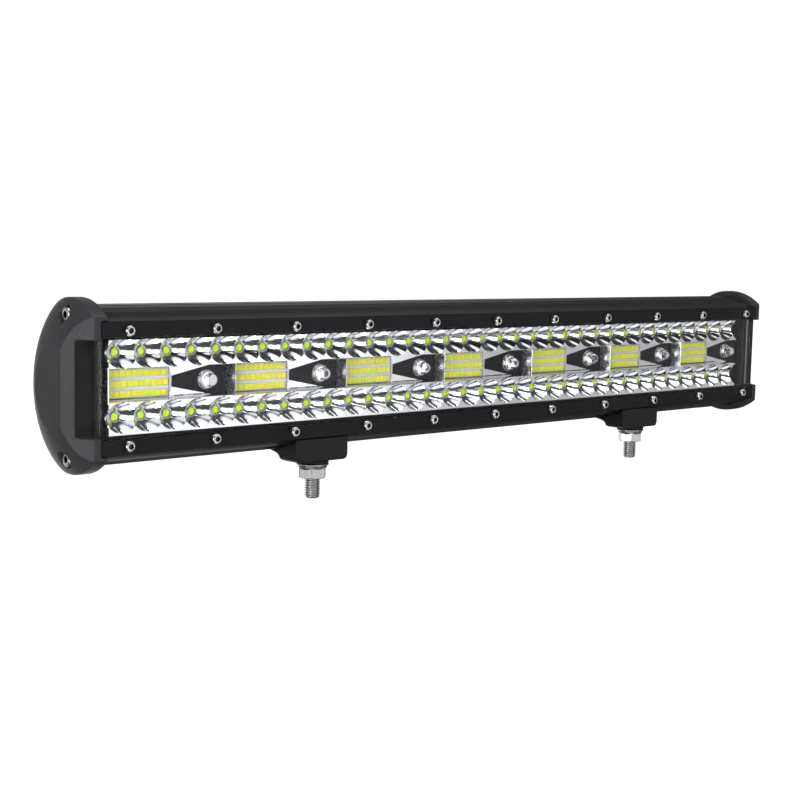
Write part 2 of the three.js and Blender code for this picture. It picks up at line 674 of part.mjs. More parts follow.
const reflector = makeReflector(LEDS_PER_ROW, REFLECTOR_HALF);
const shortReflector = makeReflector(LAST_MODULE_LEDS, ledX(LAST_MODULE_LEDS - 1) + END_MARGIN);
const projectorLens = makeProjectorLens();
for (let m = 0; m < MODULES; m += 1) {
  const x = moduleX(m);
  const own = m === MODULES - 1 ? shortReflector : reflector;
  place(`reflector_${m + 1}`, own, "chrome", [x, 0, 0]);
  const lensAt = [x + PROJECTOR.x, 0, OPTICS_RISE];
  place(`projector_lens_${m + 1}`, projectorLens, "lens", lensAt);
}

const stripScrew = makeScrew(STRIP_SCREW);
for (let i = 0; i < STRIP_SCREWS; i += 1) {
  const label = String(i + 1).padStart(2, "0");
  place(`top_strip_screw_${label}`, stripScrew, "steel", [stripScrewX(i), -GAP, STRIP_SCREW_Z]);
  place(`bottom_strip_screw_${label}`, stripScrew, "steel", [stripScrewX(i), -GAP, -STRIP_SCREW_Z]);
}

// the cap screws point inwards along X, their heads sunk in the counterbores
const capScrew = makeScrew(CAP_SCREW);
const capScrewX = CAP_SCREW_SEAT + GAP;
for (const [side, sign] of [["left", -1], ["right", 1]]) {
  for (const [level, up] of [["upper", 1], ["lower", -1]]) {
    const at = [sign * capScrewX, CAP_SCREW_Y, up * CAP_SCREW_Z];
    place(`${side}_cap_screw_${level}`, capScrew, "steel", at, (sign * Math.PI) / 2);
  }
}

const foot = makeFoot();
const bolt = makeBolt();
const washer = makeWasher();
const flangeNut = makeFlangeNut();
for (const side of ["left", "right"]) {
  const at = [FOOT_X[side], 0, 0];
  place(`${side}_foot`, foot, "foot", at);
  place(`${side}_bolt`, bolt, "zinc", at);
  place(`${side}_washer`, washer, "nylon", at);
  place(`${side}_flange_nut`, flangeNut, "zinc", at);
}

place("cable_gland", makeGland(), "nylon");
place("breather", makeVent(), "nylon");

export default lightBar;
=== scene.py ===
"""Looks for the LED light bar: smooth high-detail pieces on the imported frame.

Shapes are written in the bar's own millimetres: X along the bar, Y = 0 on the outer face of
the front strips with the light leaving towards -Y, Z = 0 on the bar's centreline. to_row()
moves them by ORIGIN into the row frame and turns them into metres.
"""

import math

import bmesh
import bpy
from mathutils import Matrix, Vector
from mathutils.geometry import tessellate_polygon


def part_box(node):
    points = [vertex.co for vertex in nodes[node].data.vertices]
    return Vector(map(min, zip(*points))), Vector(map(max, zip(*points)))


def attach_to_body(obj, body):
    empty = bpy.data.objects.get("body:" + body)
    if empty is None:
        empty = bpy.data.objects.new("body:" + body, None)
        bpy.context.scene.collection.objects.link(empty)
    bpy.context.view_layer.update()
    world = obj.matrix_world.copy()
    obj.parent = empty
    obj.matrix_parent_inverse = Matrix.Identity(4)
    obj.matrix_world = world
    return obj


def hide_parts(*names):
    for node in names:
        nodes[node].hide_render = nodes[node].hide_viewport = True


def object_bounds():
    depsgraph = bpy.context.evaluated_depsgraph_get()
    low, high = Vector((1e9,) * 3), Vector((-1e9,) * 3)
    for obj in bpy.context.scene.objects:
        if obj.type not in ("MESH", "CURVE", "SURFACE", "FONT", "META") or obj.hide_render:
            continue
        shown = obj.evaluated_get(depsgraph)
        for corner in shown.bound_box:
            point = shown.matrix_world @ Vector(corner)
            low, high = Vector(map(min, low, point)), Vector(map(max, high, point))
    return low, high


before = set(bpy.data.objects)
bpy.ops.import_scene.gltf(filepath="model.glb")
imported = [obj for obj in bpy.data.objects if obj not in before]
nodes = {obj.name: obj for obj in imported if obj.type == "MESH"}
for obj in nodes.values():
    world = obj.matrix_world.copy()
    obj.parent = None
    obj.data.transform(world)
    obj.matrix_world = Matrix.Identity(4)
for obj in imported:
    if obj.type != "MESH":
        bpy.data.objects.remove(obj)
cad_lo, cad_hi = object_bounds()

ORIGIN = Vector((0, -9, 42.5))
MM = 0.001
GAP = 0.3
TAU = 2 * math.pi

# ---- node materials ----


def put(tree, socket, value):
    """Sets a socket, or links it where the value is another node's output."""
    if isinstance(value, bpy.types.NodeSocket):
        tree.links.new(value, socket)
    else:
        socket.default_value = value


def add_node(tree, kind, **values):
    """A node whose lower-case values are its settings and the others its inputs."""
    node = tree.nodes.new(kind)
    for key, value in values.items():
        if key.islower():
            setattr(node, key, value)
        else:
            put(tree, node.inputs[key.replace("_", " ")], value)
    return node


def calculate(tree, operation, a, b, clamp=False):
    node = add_node(tree, "ShaderNodeMath", operation=operation, use_clamp=clamp)
    put(tree, node.inputs[0], a)
    put(tree, node.inputs[1], b)
    return node.outputs["Value"]


def blend(tree, share, shader, other):
    """A shader mixed with a share of another."""
    node = tree.nodes.new("ShaderNodeMixShader")
    for socket, value in zip(node.inputs, (share, shader, other)):
        tree.links.new(value, socket)
    return node.outputs["Shader"]


class Finish:
    """A Principled material whose sockets are driven by noise in object space."""

    def __init__(self, name, color, roughness, metallic=0.0, **sockets):
        self.mat = bpy.data.materials.new(name)
        self.mat.use_nodes = True
        self.tree = self.mat.node_tree
        self.sockets = self.tree.nodes["Principled BSDF"].inputs
        self.shader = self.tree.nodes["Principled BSDF"].outputs["BSDF"]
        self.set(Base_Color=(*color, 1), Roughness=roughness, Metallic=metallic, **sockets)
        self.place = self.tree.nodes.new("ShaderNodeTexCoord").outputs["Object"]
        self.height = None

    def set(self, **values):
        for key, value in values.items():
            put(self.tree, self.sockets[key.replace("_", " ")], value)
        return self

    def surface(self, shader):
        put(self.tree, self.tree.nodes["Material Output"].inputs["Surface"], shader)

    def noise(self, scale, detail=3.0, stretch=(1, 1, 1), rough=0.5):
        """Noise of that many waves per metre; a stretch below 1 draws it out along an axis."""
        mapping = add_node(self.tree, "ShaderNodeMapping", Vector=self.place, Scale=stretch)
        return add_node(self.tree, "ShaderNodeTexNoise", Vector=mapping.outputs["Vector"],
                        Scale=scale, Detail=detail, Roughness=rough).outputs["Fac"]

    def remap(self, value, lo, hi):
        """From lo to hi as value goes from 0.3 to 0.7, which is most of a noise's range."""
        return add_node(self.tree, "ShaderNodeMapRange", Value=value, From_Min=0.3,
                        From_Max=0.7, To_Min=lo, To_Max=hi).outputs["Result"]

    def color(self, value, low, high):
        mix = add_node(self.tree, "ShaderNodeMix", data_type="RGBA", A=(*low, 1), B=(*high, 1),
                       Factor=self.remap(value, 0, 1))
        return self.set(Base_Color=mix.outputs["Result"])

    def rough(self, value, low, high):
        return self.set(Roughness=self.remap(value, low, high))

    def bump(self, value, strength, distance_mm):
        """Adds to the bumps that are there already."""
        node = add_node(self.tree, "ShaderNodeBump", Strength=strength,
                        Distance=distance_mm * MM, Height=value)
        if self.height is not None:
            put(self.tree, node.inputs["Normal"], self.height)
        self.height = node.outputs["Normal"]
        return self.set(Normal=self.height)


def extruded_black(name, low, high, rough_low, rough_high, specular):
    """Black anodised aluminium with faint die lines along the bar."""
    f = Finish(name, low, rough_low, 0.1, Specular_IOR_Level=specular)
    lines = f.noise(900, 2, (0.004, 1, 1))
    cloud = f.noise(30, 4)
    f.color(cloud, low, high).rough(lines, rough_low, rough_high)
    f.bump(lines, 0.12, 0.05).bump(f.noise(5000, 2), 0.05, 0.02)
    return f.mat


def cast_black(name, low, high, rough_low, rough_high, specular):
    """Satin powder coat on a casting: soft orange peel with a fine grain."""
    f = Finish(name, low, rough_low, 0.0, Specular_IOR_Level=specular)
    peel = f.noise(700, 3)
    grit = f.noise(4200, 2)
    f.color(f.noise(25, 4), low, high).rough(peel, rough_low, rough_high)
    f.bump(peel, 0.16, 0.06).bump(grit, 0.16, 0.03)
    return f.mat


def plated(name, low, high, rough_low, rough_high, wave):
    """Vacuum plated plastic, a little uneven like a moulding."""
    f = Finish(name, low, rough_low, 1.0)
    cloud = f.noise(120, 3)
    f.color(cloud, low, high).rough(f.noise(600, 3), rough_low, rough_high)
    f.bump(f.noise(220, 2), wave, 0.12)
    return f.mat


def steel(name, low, high, rough_low, rough_high):
    """Bare or zinc plated steel with fine scratches."""
    f = Finish(name, low, rough_low, 1.0)
    cloud = f.noise(300, 5)
    scratch = f.noise(2600, 3)
    f.color(cloud, low, high).rough(scratch, rough_low, rough_high)
    f.bump(scratch, 0.12, 0.02)
    return f.mat


def dull(name, low, high, rough_low, rough_high, scale=900, bump=0.25):
    """A grained surface that shines little: rubber, nylon or the board's lacquers."""
    f = Finish(name, low, rough_low, 0.0, Specular_IOR_Level=0.2)
    grain = f.noise(scale, 4)
    f.color(f.noise(scale / 12, 3), low, high).rough(grain, rough_low, rough_high)
    f.bump(grain, bump, 0.05)
    return f.mat


def phosphor(name, low, high, speck, scale):
    """Silicone filled with phosphor grains, with a faint painted glow so that the unlit LEDs look
    lit.
    """
    # painted light: the emission makes the unlit phosphor glow faintly
    f = Finish(name, low, 0.3, 0.0, Coat_Weight=0.4, Coat_Roughness=0.15,
               Emission_Color=(*low, 1), Emission_Strength=0.19)
    f.color(f.noise(scale, 3, rough=0.7), low, high).rough(f.noise(900, 2), 0.28, 0.42)
    f.bump(f.noise(5200, 3, rough=0.7), speck, 0.03)
    return f.mat


def clear(name, tint, ior):
    """Polished clear plastic that casts no shadow on what lies behind it."""
    f = Finish(name, tint, 0.0, 0.0, Transmission_Weight=1.0, IOR=ior)
    haze = f.noise(60, 3)
    f.color(haze, tint, (1, 1, 1)).rough(f.noise(220, 3), 0.0, 0.012)
    f.bump(f.noise(90, 2), 0.03, 0.05)
    path = f.tree.nodes.new("ShaderNodeLightPath")
    through = f.tree.nodes.new("ShaderNodeBsdfTransparent")
    f.surface(blend(f.tree, path.outputs["Is Shadow Ray"], f.shader, through.outputs["BSDF"]))
    return f.mat


HOUSING = extruded_black("housing_anodised", (0.0075, 0.008, 0.009), (0.012, 0.013, 0.0145),
                         0.26, 0.36, specular=0.5)
STRIP = extruded_black("strip_anodised", (0.0065, 0.0068, 0.0078), (0.0095, 0.010, 0.0115),
                       0.30, 0.40, specular=0.16)
CAP = cast_black("cap_coated", (0.022, 0.0225, 0.0245), (0.030, 0.0305, 0.033),
                 0.36, 0.48, specular=0.32)
FOOT = cast_black("foot_coated", (0.0035, 0.0035, 0.0038), (0.006, 0.006, 0.0065),
                  0.36, 0.48, specular=0.36)
CHROME = plated("reflector_chrome", (0.88, 0.89, 0.92), (0.94, 0.94, 0.96), 0.02, 0.05, 0.10)
COLLAR = plated("reflector_collar", (0.66, 0.66, 0.72), (0.80, 0.80, 0.84), 0.22, 0.34, 0.05)
SCREW = steel("screw_steel", (0.90, 0.90, 0.89), (0.97, 0.97, 0.96), 0.20, 0.32)
ZINC = steel("bolt_zinc", (0.60, 0.61, 0.61), (0.74, 0.75, 0.75), 0.26, 0.40)
# painted shade: dark steel for the inside of each hex socket, standing for the shade in its deep
# hollow
SOCKET_SHADE = steel("socket_painted_shade", (0.07, 0.07, 0.075), (0.12, 0.12, 0.125), 0.30, 0.45)
SEAL = dull("seal_rubber", (0.010, 0.010, 0.011), (0.018, 0.018, 0.019), 0.65, 0.8)
NYLON = dull("black_nylon", (0.012, 0.012, 0.013), (0.020, 0.020, 0.022),
             0.45, 0.6, scale=1500, bump=0.15)
MASK = dull("board_black_mask", (0.007, 0.007, 0.009), (0.012, 0.012, 0.015),
            0.5, 0.65, scale=600, bump=0.08)
PLATE = dull("board_white_base", (0.62, 0.62, 0.67), (0.74, 0.74, 0.78),
             0.3, 0.45, scale=700, bump=0.1)
RIB = dull("board_silver_rib", (0.66, 0.66, 0.74), (0.80, 0.80, 0.86),
           0.25, 0.4, scale=500, bump=0.1)
DOT = phosphor("led_phosphor_green", (0.50, 0.78, 0.012), (0.66, 0.88, 0.035),
               speck=0.2, scale=5200)
CHIP = phosphor("chip_phosphor_yellow", (0.52, 0.70, 0.030), (0.80, 0.61, 0.035),
                speck=0.25, scale=130)
LENS = clear("lens_clear", (0.985, 0.992, 0.992), ior=1.2)
PROJECTOR = clear("projector_clear", (0.97, 0.98, 0.985), ior=1.49)

# ---- mesh helpers ----


def linked(name, data):
    """A new object in the scene around a mesh, light or camera."""
    obj = bpy.data.objects.new(name, data)
    bpy.context.scene.collection.objects.link(obj)
    return obj


def new_object(name, bm, mats):
    mesh = bpy.data.meshes.new(name)
    bm.to_mesh(mesh)
    bm.free()
    for mat in mats:
        mesh.materials.append(mat)
    return linked(name, mesh)


def paint(obj, *mats):
    """Gives the object these materials and no others."""
    obj.data.materials.clear()
    for mat in mats:
        obj.data.materials.append(mat)


def shifted_copy(base, name, x):
    """A copy of an object with a mesh of its own, x millimetres along the bar."""
    mesh = base.data.copy()
    mesh.transform(Matrix.Translation((x * MM, 0, 0)))
    return linked(name, mesh)


def apply_modifiers(obj):
    graph = bpy.context.evaluated_depsgraph_get()
    mesh = bpy.data.meshes.new_from_object(obj.evaluated_get(graph))
    obj.modifiers.clear()
    obj.data = mesh
    return obj


def bevel(obj, width):
    """Rounds every edge sharper than 40 degrees when the object is shown."""
    mod = obj.modifiers.new("edge", "BEVEL")
    mod.width = width * MM
    mod.segments = 3
    mod.limit_method = "ANGLE"
    mod.angle_limit = math.radians(40)
    mod.harden_normals = True
    mod.use_clamp_overlap = True
    return obj


def boolean(obj, cutters, operation="DIFFERENCE"):
    """Applies each cutter in turn and removes it."""
    for cutter in cutters:
        mod = obj.modifiers.new("cut", "BOOLEAN")
        mod.operation = operation
        mod.solver = "EXACT"
        mod.object = cutter
        apply_modifiers(obj)
        bpy.data.objects.remove(cutter)
    return obj


def melt(obj, voxel, rounds):
    """Rebuilds the surface as an even skin and relaxes it, which rounds every edge."""
    mod = obj.modifiers.new("skin", "REMESH")
    mod.mode = "VOXEL"
    mod.voxel_size = voxel * MM
    mod.use_smooth_shade = True
    relax = obj.modifiers.new("relax", "SMOOTH")
    relax.factor = 0.5
    relax.iterations = rounds
    return apply_modifiers(obj)


def to_row(bm):
    for v in bm.verts:
        v.co = (v.co + ORIGIN) * MM


def solid(name, bm, mats=()):
    """A closed mesh in the bar's millimetres as an object in the row frame."""
    bmesh.ops.remove_doubles(bm, verts=bm.verts, dist=1e-4)
    bmesh.ops.recalc_face_normals(bm, faces=bm.faces)
    to_row(bm)
    return new_object(name, bm, mats)


def shade(obj, angle=32):
    """Smooth shading, with edges sharper than the angle kept."""
    obj.data.shade_smooth()
    obj.data.set_sharp_from_angle(angle=math.radians(angle))
    return obj


def attach(obj, body, slot, *replaced):
    """Ties the piece to a body and hides the CAD nodes it stands for; slot is not used."""
    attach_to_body(obj, body)
    if replaced:
        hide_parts(*replaced)
    return obj


def loop_faces(bm, a, b, mat=0):
    """Quads between two closed rings of the same length."""
    n = len(a)
    for i in range(n):
        j = (i + 1) % n
        face = bm.faces.new((a[i], a[j], b[j], b[i]))
        face.material_index = mat


def fan(bm, tip, ring, mat=0):
    """Triangles from a closed ring to one vertex."""
    for k, vert in enumerate(ring):
        face = bm.faces.new((tip, vert, ring[(k + 1) % len(ring)]))
        face.material_index = mat


def axis_point(axis, u, v, t):
    """The point t along an axis, with u and v across it in the order X, Y, Z."""
    return {"X": (t, u, v), "Y": (u, t, v), "Z": (u, v, t)}[axis]


def prism(points, lo, hi, axis, bm=None):
    """An outline swept along an axis. Outline points are (Y, Z), (X, Z) or (X, Y)."""
    bm = bm or bmesh.new()
    a = [bm.verts.new(axis_point(axis, *p, lo)) for p in points]
    b = [bm.verts.new(axis_point(axis, *p, hi)) for p in points]
    loop_faces(bm, a, b)
    bm.faces.new(a)
    bm.faces.new(list(reversed(b)))
    return bm


def block(x0, x1, y0, y1, z0, z1, bm=None):
    return prism([(y0, z0), (y1, z0), (y1, z1), (y0, z1)], x0, x1, "X", bm)


def lathe(rings, centre, axis, steps, bm=None, shape=None, mats=None):
    """Rings of (radius, height) turned about an axis; shape(radius, angle, height) may
    change the radius, and a radius of 0 closes the end."""
    bm = bm or bmesh.new()
    u0, v0 = centre
    made = []
    for radius, height in rings:
        if radius == 0:
            ring = [bm.verts.new(axis_point(axis, u0, v0, height))]
        else:
            ring = []
            for k in range(steps):
                angle = TAU * k / steps
                r = shape(radius, angle, height) if shape else radius
                ring.append(bm.verts.new(axis_point(
                    axis, u0 + r * math.cos(angle), v0 + r * math.sin(angle), height)))
        made.append(ring)
    for n, (a, b) in enumerate(zip(made, made[1:])):
        mat = mats[n] if mats else 0
        if len(a) > 1 and len(b) > 1:
            loop_faces(bm, a, b, mat)
        else:
            tip, ring = (a[0], b) if len(a) == 1 else (b[0], a)
            fan(bm, tip, ring, mat)
    return bm


def cylinder(centre, axis, radius, lo, hi, steps=48, bm=None):
    return lathe([(0, lo), (radius, lo), (radius, hi), (0, hi)], centre, axis, steps, bm)


def hex_radius(flats, angle, turn=0.0):
    """Reach of a hexagon in a direction; at no turn a flat faces along the first axis."""
    wedge = (angle - turn + math.pi / 6) % (math.pi / 3) - math.pi / 6
    return flats / 2 / math.cos(wedge)


def arc(cu, cv, radius, a0, a1, steps):
    return [(cu + radius * math.cos(math.radians(a0 + (a1 - a0) * i / steps)),
             cv + radius * math.sin(math.radians(a0 + (a1 - a0) * i / steps)))
            for i in range(steps + 1)]


# a radius that lathe()'s shape functions read as "the hexagon's own"
HEX = 99


def node_centre(name):
    """Centre of a CAD node in the bar's millimetres."""
    lo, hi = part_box(name)
    return (Vector(lo) + Vector(hi)) / 2 / MM - ORIGIN


# ---- the two D-shaped outlines ----

WIDEST_Y = 22
REAR_POWER = 2.1  # 2 would be an ellipse
HOUSING_HALF, HOUSING_TOP, HOUSING_REACH = 242.9, 37, 34.8
HOUSING_FRONT, HOUSING_BACK = 1.9, 49
CAP_INNER, CAP_RIM, CAP_FACET = 244.2, 251, 260.6
CAP_TOP, CAP_BACK, CAP_REACH = 40.3, 52, 36.2


def half_height(y, top, front_reach, rear_reach):
    """Half the height of a D-shaped section at depth y."""
    if y <= WIDEST_Y:
        return top * math.sqrt(1 - ((WIDEST_Y - y) / front_reach) ** 2)
    t = min(1, (y - WIDEST_Y) / rear_reach)
    return top * (1 - t ** REAR_POWER) ** (1 / REAR_POWER)


def housing_half(y):
    return half_height(y, HOUSING_TOP, HOUSING_REACH, HOUSING_BACK - WIDEST_Y)


def cap_half(y):
    return half_height(y, CAP_TOP, CAP_REACH, CAP_BACK - WIDEST_Y)


# ---- housing ----

WEB_FRONT, WEB_BACK, CHAMBER_Z = 15.3, 21, 21.9
LENS_Z, SEAT_Y = 23.6, 7.9
STRIP_SCREW_Z, SCREW_SLOT, SCREW_SLOT_END = 26, 3.3, 9.4
GROOVE_WIDTH, GROOVE_DEPTH = 1.1, 1.5
FIN_PITCH, FIN_SLOT, FIN_SLOTS = 5.2, 3, 5
SLOT_Y, SLOT_HEAD, SLOT_NECK = 10.5, 10, 6.6
SLOT_HEAD_TOP, SLOT_HEAD_BOTTOM = 28.8, 31
PAD_HALF, PAD_CUT = 12, 11.8
GLAND_PORT, VENT_PORT = 6.0, 4.0
UPPER_GROOVES, LOWER_GROOVES = [8, 12, 16, 20, 24, 28], [20, 24, 28]
SECTION_STEP, REAR_STEPS, FIN_TIP_STEPS = 1.0, 8, 3


def back_y(z):
    """Depth of the housing's rear curve at height z."""
    t = (1 - (z / HOUSING_TOP) ** REAR_POWER) ** (1 / REAR_POWER)
    return WIDEST_Y + (HOUSING_BACK - WIDEST_Y) * t


def housing_side(grooves, t_slot):
    """Upper half of the section, from the lens seat's inner corner round to the rear middle.

    cuts holds what interrupts the outer curve, from the front back: grooves, and the slot
    for the feet on the lower half.
    """
    lo, hi = STRIP_SCREW_Z - SCREW_SLOT / 2, STRIP_SCREW_Z + SCREW_SLOT / 2
    points = [(WEB_FRONT, CHAMBER_Z), (SEAT_Y, CHAMBER_Z), (SEAT_Y, LENS_Z + GAP)]
    points += [(HOUSING_FRONT, LENS_Z + GAP), (HOUSING_FRONT, lo), (SCREW_SLOT_END, lo)]
    points += [(SCREW_SLOT_END, hi), (HOUSING_FRONT, hi)]
    cuts = [(y - GROOVE_WIDTH / 2, y + GROOVE_WIDTH / 2, "groove") for y in grooves]
    if t_slot:
        cuts.append((SLOT_Y - SLOT_NECK / 2 - GAP, SLOT_Y + SLOT_NECK / 2 + GAP, "slot"))
    cuts.sort()
    y = HOUSING_FRONT
    end = WIDEST_Y + 8
    while y < end:
        points.append((y, housing_half(y)))
        limit = cuts[0][0] if cuts else end
        if y + SECTION_STEP < limit:
            y += SECTION_STEP
            continue
        if not cuts:
            break
        a, b, kind = cuts.pop(0)
        points.append((a, housing_half(a)))
        if kind == "groove":
            floor = housing_half((a + b) / 2) - GROOVE_DEPTH
            points += [(a, floor), (b, floor)]
        else:
            ha, hb = SLOT_Y - SLOT_HEAD / 2 - GAP, SLOT_Y + SLOT_HEAD / 2 + GAP
            top, bottom = SLOT_HEAD_TOP - GAP, SLOT_HEAD_BOTTOM + GAP
            points += [(a, bottom), (ha, bottom), (ha, top)]
            points += [(hb, top), (hb, bottom), (b, bottom)]
        y = b
    # both edges of each slot between the fins, from the top one to the middle one
    edges = [i * FIN_PITCH + s * FIN_SLOT / 2
             for i in range(FIN_SLOTS, -1, -1) for s in (1, -1)]
    z_start = points[-1][1]
    for i in range(1, REAR_STEPS + 1):
        z = z_start + (edges[0] - z_start) * i / REAR_STEPS
        points.append((back_y(z), z))
    for outer, inner in zip(edges[0::2], edges[1::2]):
        points.append((WEB_BACK, outer))
        if inner <= 0:
            break
        points.append((WEB_BACK, inner))
        following = edges[edges.index(inner) + 1]
        for i in range(FIN_TIP_STEPS + 1):
            z = inner + (following - inner) * i / FIN_TIP_STEPS
            points.append((back_y(z), z))
    return points


def build_housing():
    """The extrusion, with a flat pad milled and a port drilled for each fitting on the back."""
    upper = housing_side(UPPER_GROOVES, False)
    lower = [(y, -z) for y, z in reversed(housing_side(LOWER_GROOVES, True))]
    section = prism(upper + lower, -HOUSING_HALF, HOUSING_HALF, "X")
    obj = solid("housing_shell", section, [HOUSING])
    cutters = []
    for node, radius in (("cable_gland", GLAND_PORT), ("breather", VENT_PORT)):
        x = node_centre(node).x
        cutters.append(solid("pad", block(
            x - PAD_HALF, x + PAD_HALF, WEB_BACK, HOUSING_BACK + 1, -PAD_CUT, PAD_CUT)))
        cutters.append(solid("port", cylinder((x, 0), "Y", radius, WEB_FRONT - 1, WEB_BACK + 1)))
    boolean(obj, cutters)
    bevel(shade(obj), 0.32)
    return attach(obj, "bar", "housing_anodised", "housing")


# ---- end caps ----

CHAMFER_DEPTH, NOTCH_Z, POCKET_X, POCKET_Z = 13.8, 21.7, 247.5, 30.5
CAP_SCREW_Y, CAP_SCREW_Z, CAP_SCREW_SEAT, HOLLOW_X = 18.6, 32.6, 251.8, 250.5
CAP_SCREW_HOLE, CAP_SCREW_SINK = 2.1, 3.9
CAP_STEPS = 40
DOME_OFFSET, DOME_DEPTH = 10, 21.66
DOME_GROWTH = 1 / math.sqrt(1 - (DOME_OFFSET / DOME_DEPTH) ** 2)
PAST = 9  # how far a cutter reaches beyond the cap


def cap_outline():
    upper = []
    for i in range(CAP_STEPS + 1):
        y = WIDEST_Y * i / CAP_STEPS
        upper.append((y, cap_half(y)))
    for i in range(1, CAP_STEPS):
        y = WIDEST_Y + (CAP_BACK - WIDEST_Y) * math.sin(math.pi / 2 * i / CAP_STEPS)
        upper.append((y, cap_half(y)))
    lower = [(y, -z) for y, z in upper]
    return lower + [(CAP_BACK, 0)] + list(reversed(upper))


def dome():
    """The egg-shaped body whose surface is the outside of the left cap."""
    bm = bmesh.new()
    bmesh.ops.create_uvsphere(bm, u_segments=128, v_segments=96, radius=1)
    for v in bm.verts:
        x, y, z = v.co
        reach = CAP_REACH if y < 0 else CAP_BACK - WIDEST_Y
        v.co = (DOME_OFFSET - CAP_RIM + x * DOME_DEPTH, WIDEST_Y + y * reach * DOME_GROWTH,
                z * CAP_TOP * DOME_GROWTH)
    return bm


def build_caps():
    """The left cap, with its slope, notch, pocket and screw holes, and its mirror image."""
    run = CAP_FACET - CAP_RIM
    cap = solid("left_cap_shell", prism(cap_outline(), -CAP_FACET, -CAP_INNER, "X"), [CAP])
    boolean(cap, [solid("dome", dome())], "INTERSECT")
    slope = prism([(-CAP_RIM, 0), (-CAP_RIM - 3 * run, CHAMFER_DEPTH * 3), (-CAP_RIM - 40, -5),
                   (-CAP_RIM + run, -CHAMFER_DEPTH)], -60, 60, "Z")
    inner = -CAP_INNER + 1
    cutters = [
        solid("slope", slope),
        solid("notch", block(-CAP_FACET - PAST, inner, -1, SEAT_Y, -NOTCH_Z, NOTCH_Z)),
        solid("pocket", block(-POCKET_X, inner, -1, SEAT_Y, -POCKET_Z, POCKET_Z)),
        solid("hollow", block(-HOLLOW_X, inner, 11.5, 40, -24, 24)),
    ]
    for z in (CAP_SCREW_Z, -CAP_SCREW_Z):
        for radius, end in ((CAP_SCREW_HOLE, inner), (CAP_SCREW_SINK, -CAP_SCREW_SEAT)):
            cutters.append(solid("hole", cylinder(
                (CAP_SCREW_Y, z), "X", radius, -CAP_FACET - PAST, end)))
    boolean(cap, cutters)
    melt(cap, 0.36, 5)
    paint(cap, CAP, SEAL)
    # painted shade: the notch's floor gets the matt black rubber, darker than the cap, to stand
    # for the shade inside the recess
    for face in cap.data.polygons:
        x, y, z = face.center / MM - ORIGIN
        if abs(z) < NOTCH_Z - 0.2 and 1.2 < y < SEAT_Y + 0.6 and face.normal.y < -0.9:
            face.material_index = 1
    other = linked("right_cap_shell", cap.data.copy())
    other.data.transform(Matrix.Scale(-1, 4, (1, 0, 0)))
    other.data.flip_normals()
    attach(cap, "bar", "cap_coated", "left_end_cap")
    attach(other, "bar", "cap_coated", "right_end_cap")


# ---- lens and strips ----

LENS_HALF, LENS_FRONT, LENS_BACK, LENS_CORNER = 247.2, 1.9, 6.5, 4.2
LENS_THICK, LENS_SKIRT = 2.5, 1.6
STRIP_HALF, STRIP_IN, STRIP_OUT, STRIP_THICK = 247.2, 23.1, 30.2, 1.6
STRIP_SCREWS, STRIP_HOLE = 11, 1.8


def tray(half, front, back, corner):
    """The lens seen from above: flat in front, with a rounded corner at each end."""
    left = arc(-half + corner, front + corner, corner, 180, 270, 12)
    right = arc(half - corner, front + corner, corner, 270, 360, 12)
    return [(-half, back)] + left + right + [(half, back)]


def build_lens():
    outer = solid("lens_tray", prism(
        tray(LENS_HALF, LENS_FRONT, LENS_BACK, LENS_CORNER), -LENS_Z, LENS_Z, "Z"), [LENS])
    edge = LENS_Z - LENS_SKIRT
    hollow = prism(tray(LENS_HALF - LENS_SKIRT, LENS_FRONT + LENS_THICK, LENS_BACK + 1,
                        LENS_CORNER - LENS_SKIRT), -edge, edge, "Z")
    boolean(outer, [solid("hollow", hollow)])
    bevel(shade(outer), 0.45)
    return attach(outer, "bar", "lens_clear", "lens_cover")


def build_strip(name, side):
    """One clamping strip; side is 1 for the top one and -1 for the bottom one."""
    lo, hi = sorted((side * STRIP_IN, side * STRIP_OUT))
    obj = solid(name + "_rail", block(-STRIP_HALF, STRIP_HALF, 0, STRIP_THICK, lo, hi), [STRIP])
    holes = bmesh.new()
    for i in range(1, STRIP_SCREWS + 1):
        at = node_centre(f"{name}_screw_{i:02d}")
        cylinder((at.x, at.z), "Y", STRIP_HOLE, -1, STRIP_THICK + 1, 24, holes)
    boolean(obj, [solid("holes", holes)])
    bevel(shade(obj), 0.4)
    return attach(obj, "bar", "strip_anodised", name)


# ---- screws ----


def socket_screw(head, height, shank, length, socket):
    """Socket-head screw about the Y axis, head towards -Y, with its seat at y = 0."""
    bm = bmesh.new()
    angles = [TAU * k / 48 for k in range(48)]

    def ring(y, reach):
        return [bm.verts.new((reach(a) * math.cos(a), y, reach(a) * math.sin(a)))
                for a in angles]

    def circle(radius, y):
        return ring(y, lambda _: radius)

    def hexring(y, grow=1.0):
        return ring(y, lambda angle: grow * hex_radius(socket, angle))

    depth = height * 0.58
    corner = 0.7
    floor = bm.verts.new((0, -height + depth + 0.45, 0))
    rings = [hexring(-height + depth), hexring(-height + 0.14), hexring(-height, 1.09)]
    rings += [circle(head - corner * (1 - math.sin(a)), -height + corner * (1 - math.cos(a)))
              for a in (0, 0.4, 0.8, 1.2, math.pi / 2)]
    rings += [circle(head, -0.12), circle(head - 0.1, 0), circle(shank, 0)]
    rings += [circle(shank, length)]
    # the socket's walls and floor take material 1, the dark steel painted as shade
    for n, (a, b) in enumerate(zip(rings, rings[1:])):
        loop_faces(bm, a, b, 1 if n == 0 else 0)
    fan(bm, floor, rings[0], 1)
    fan(bm, bm.verts.new((0, length + 0.5, 0)), rings[-1])
    bmesh.ops.recalc_face_normals(bm, faces=bm.faces)
    mesh = bpy.data.meshes.new("screw")
    bm.to_mesh(mesh)
    bm.free()
    mesh.materials.append(SCREW)
    mesh.materials.append(SOCKET_SHADE)
    mesh.shade_smooth()
    mesh.set_sharp_from_angle(angle=math.radians(35))
    return mesh


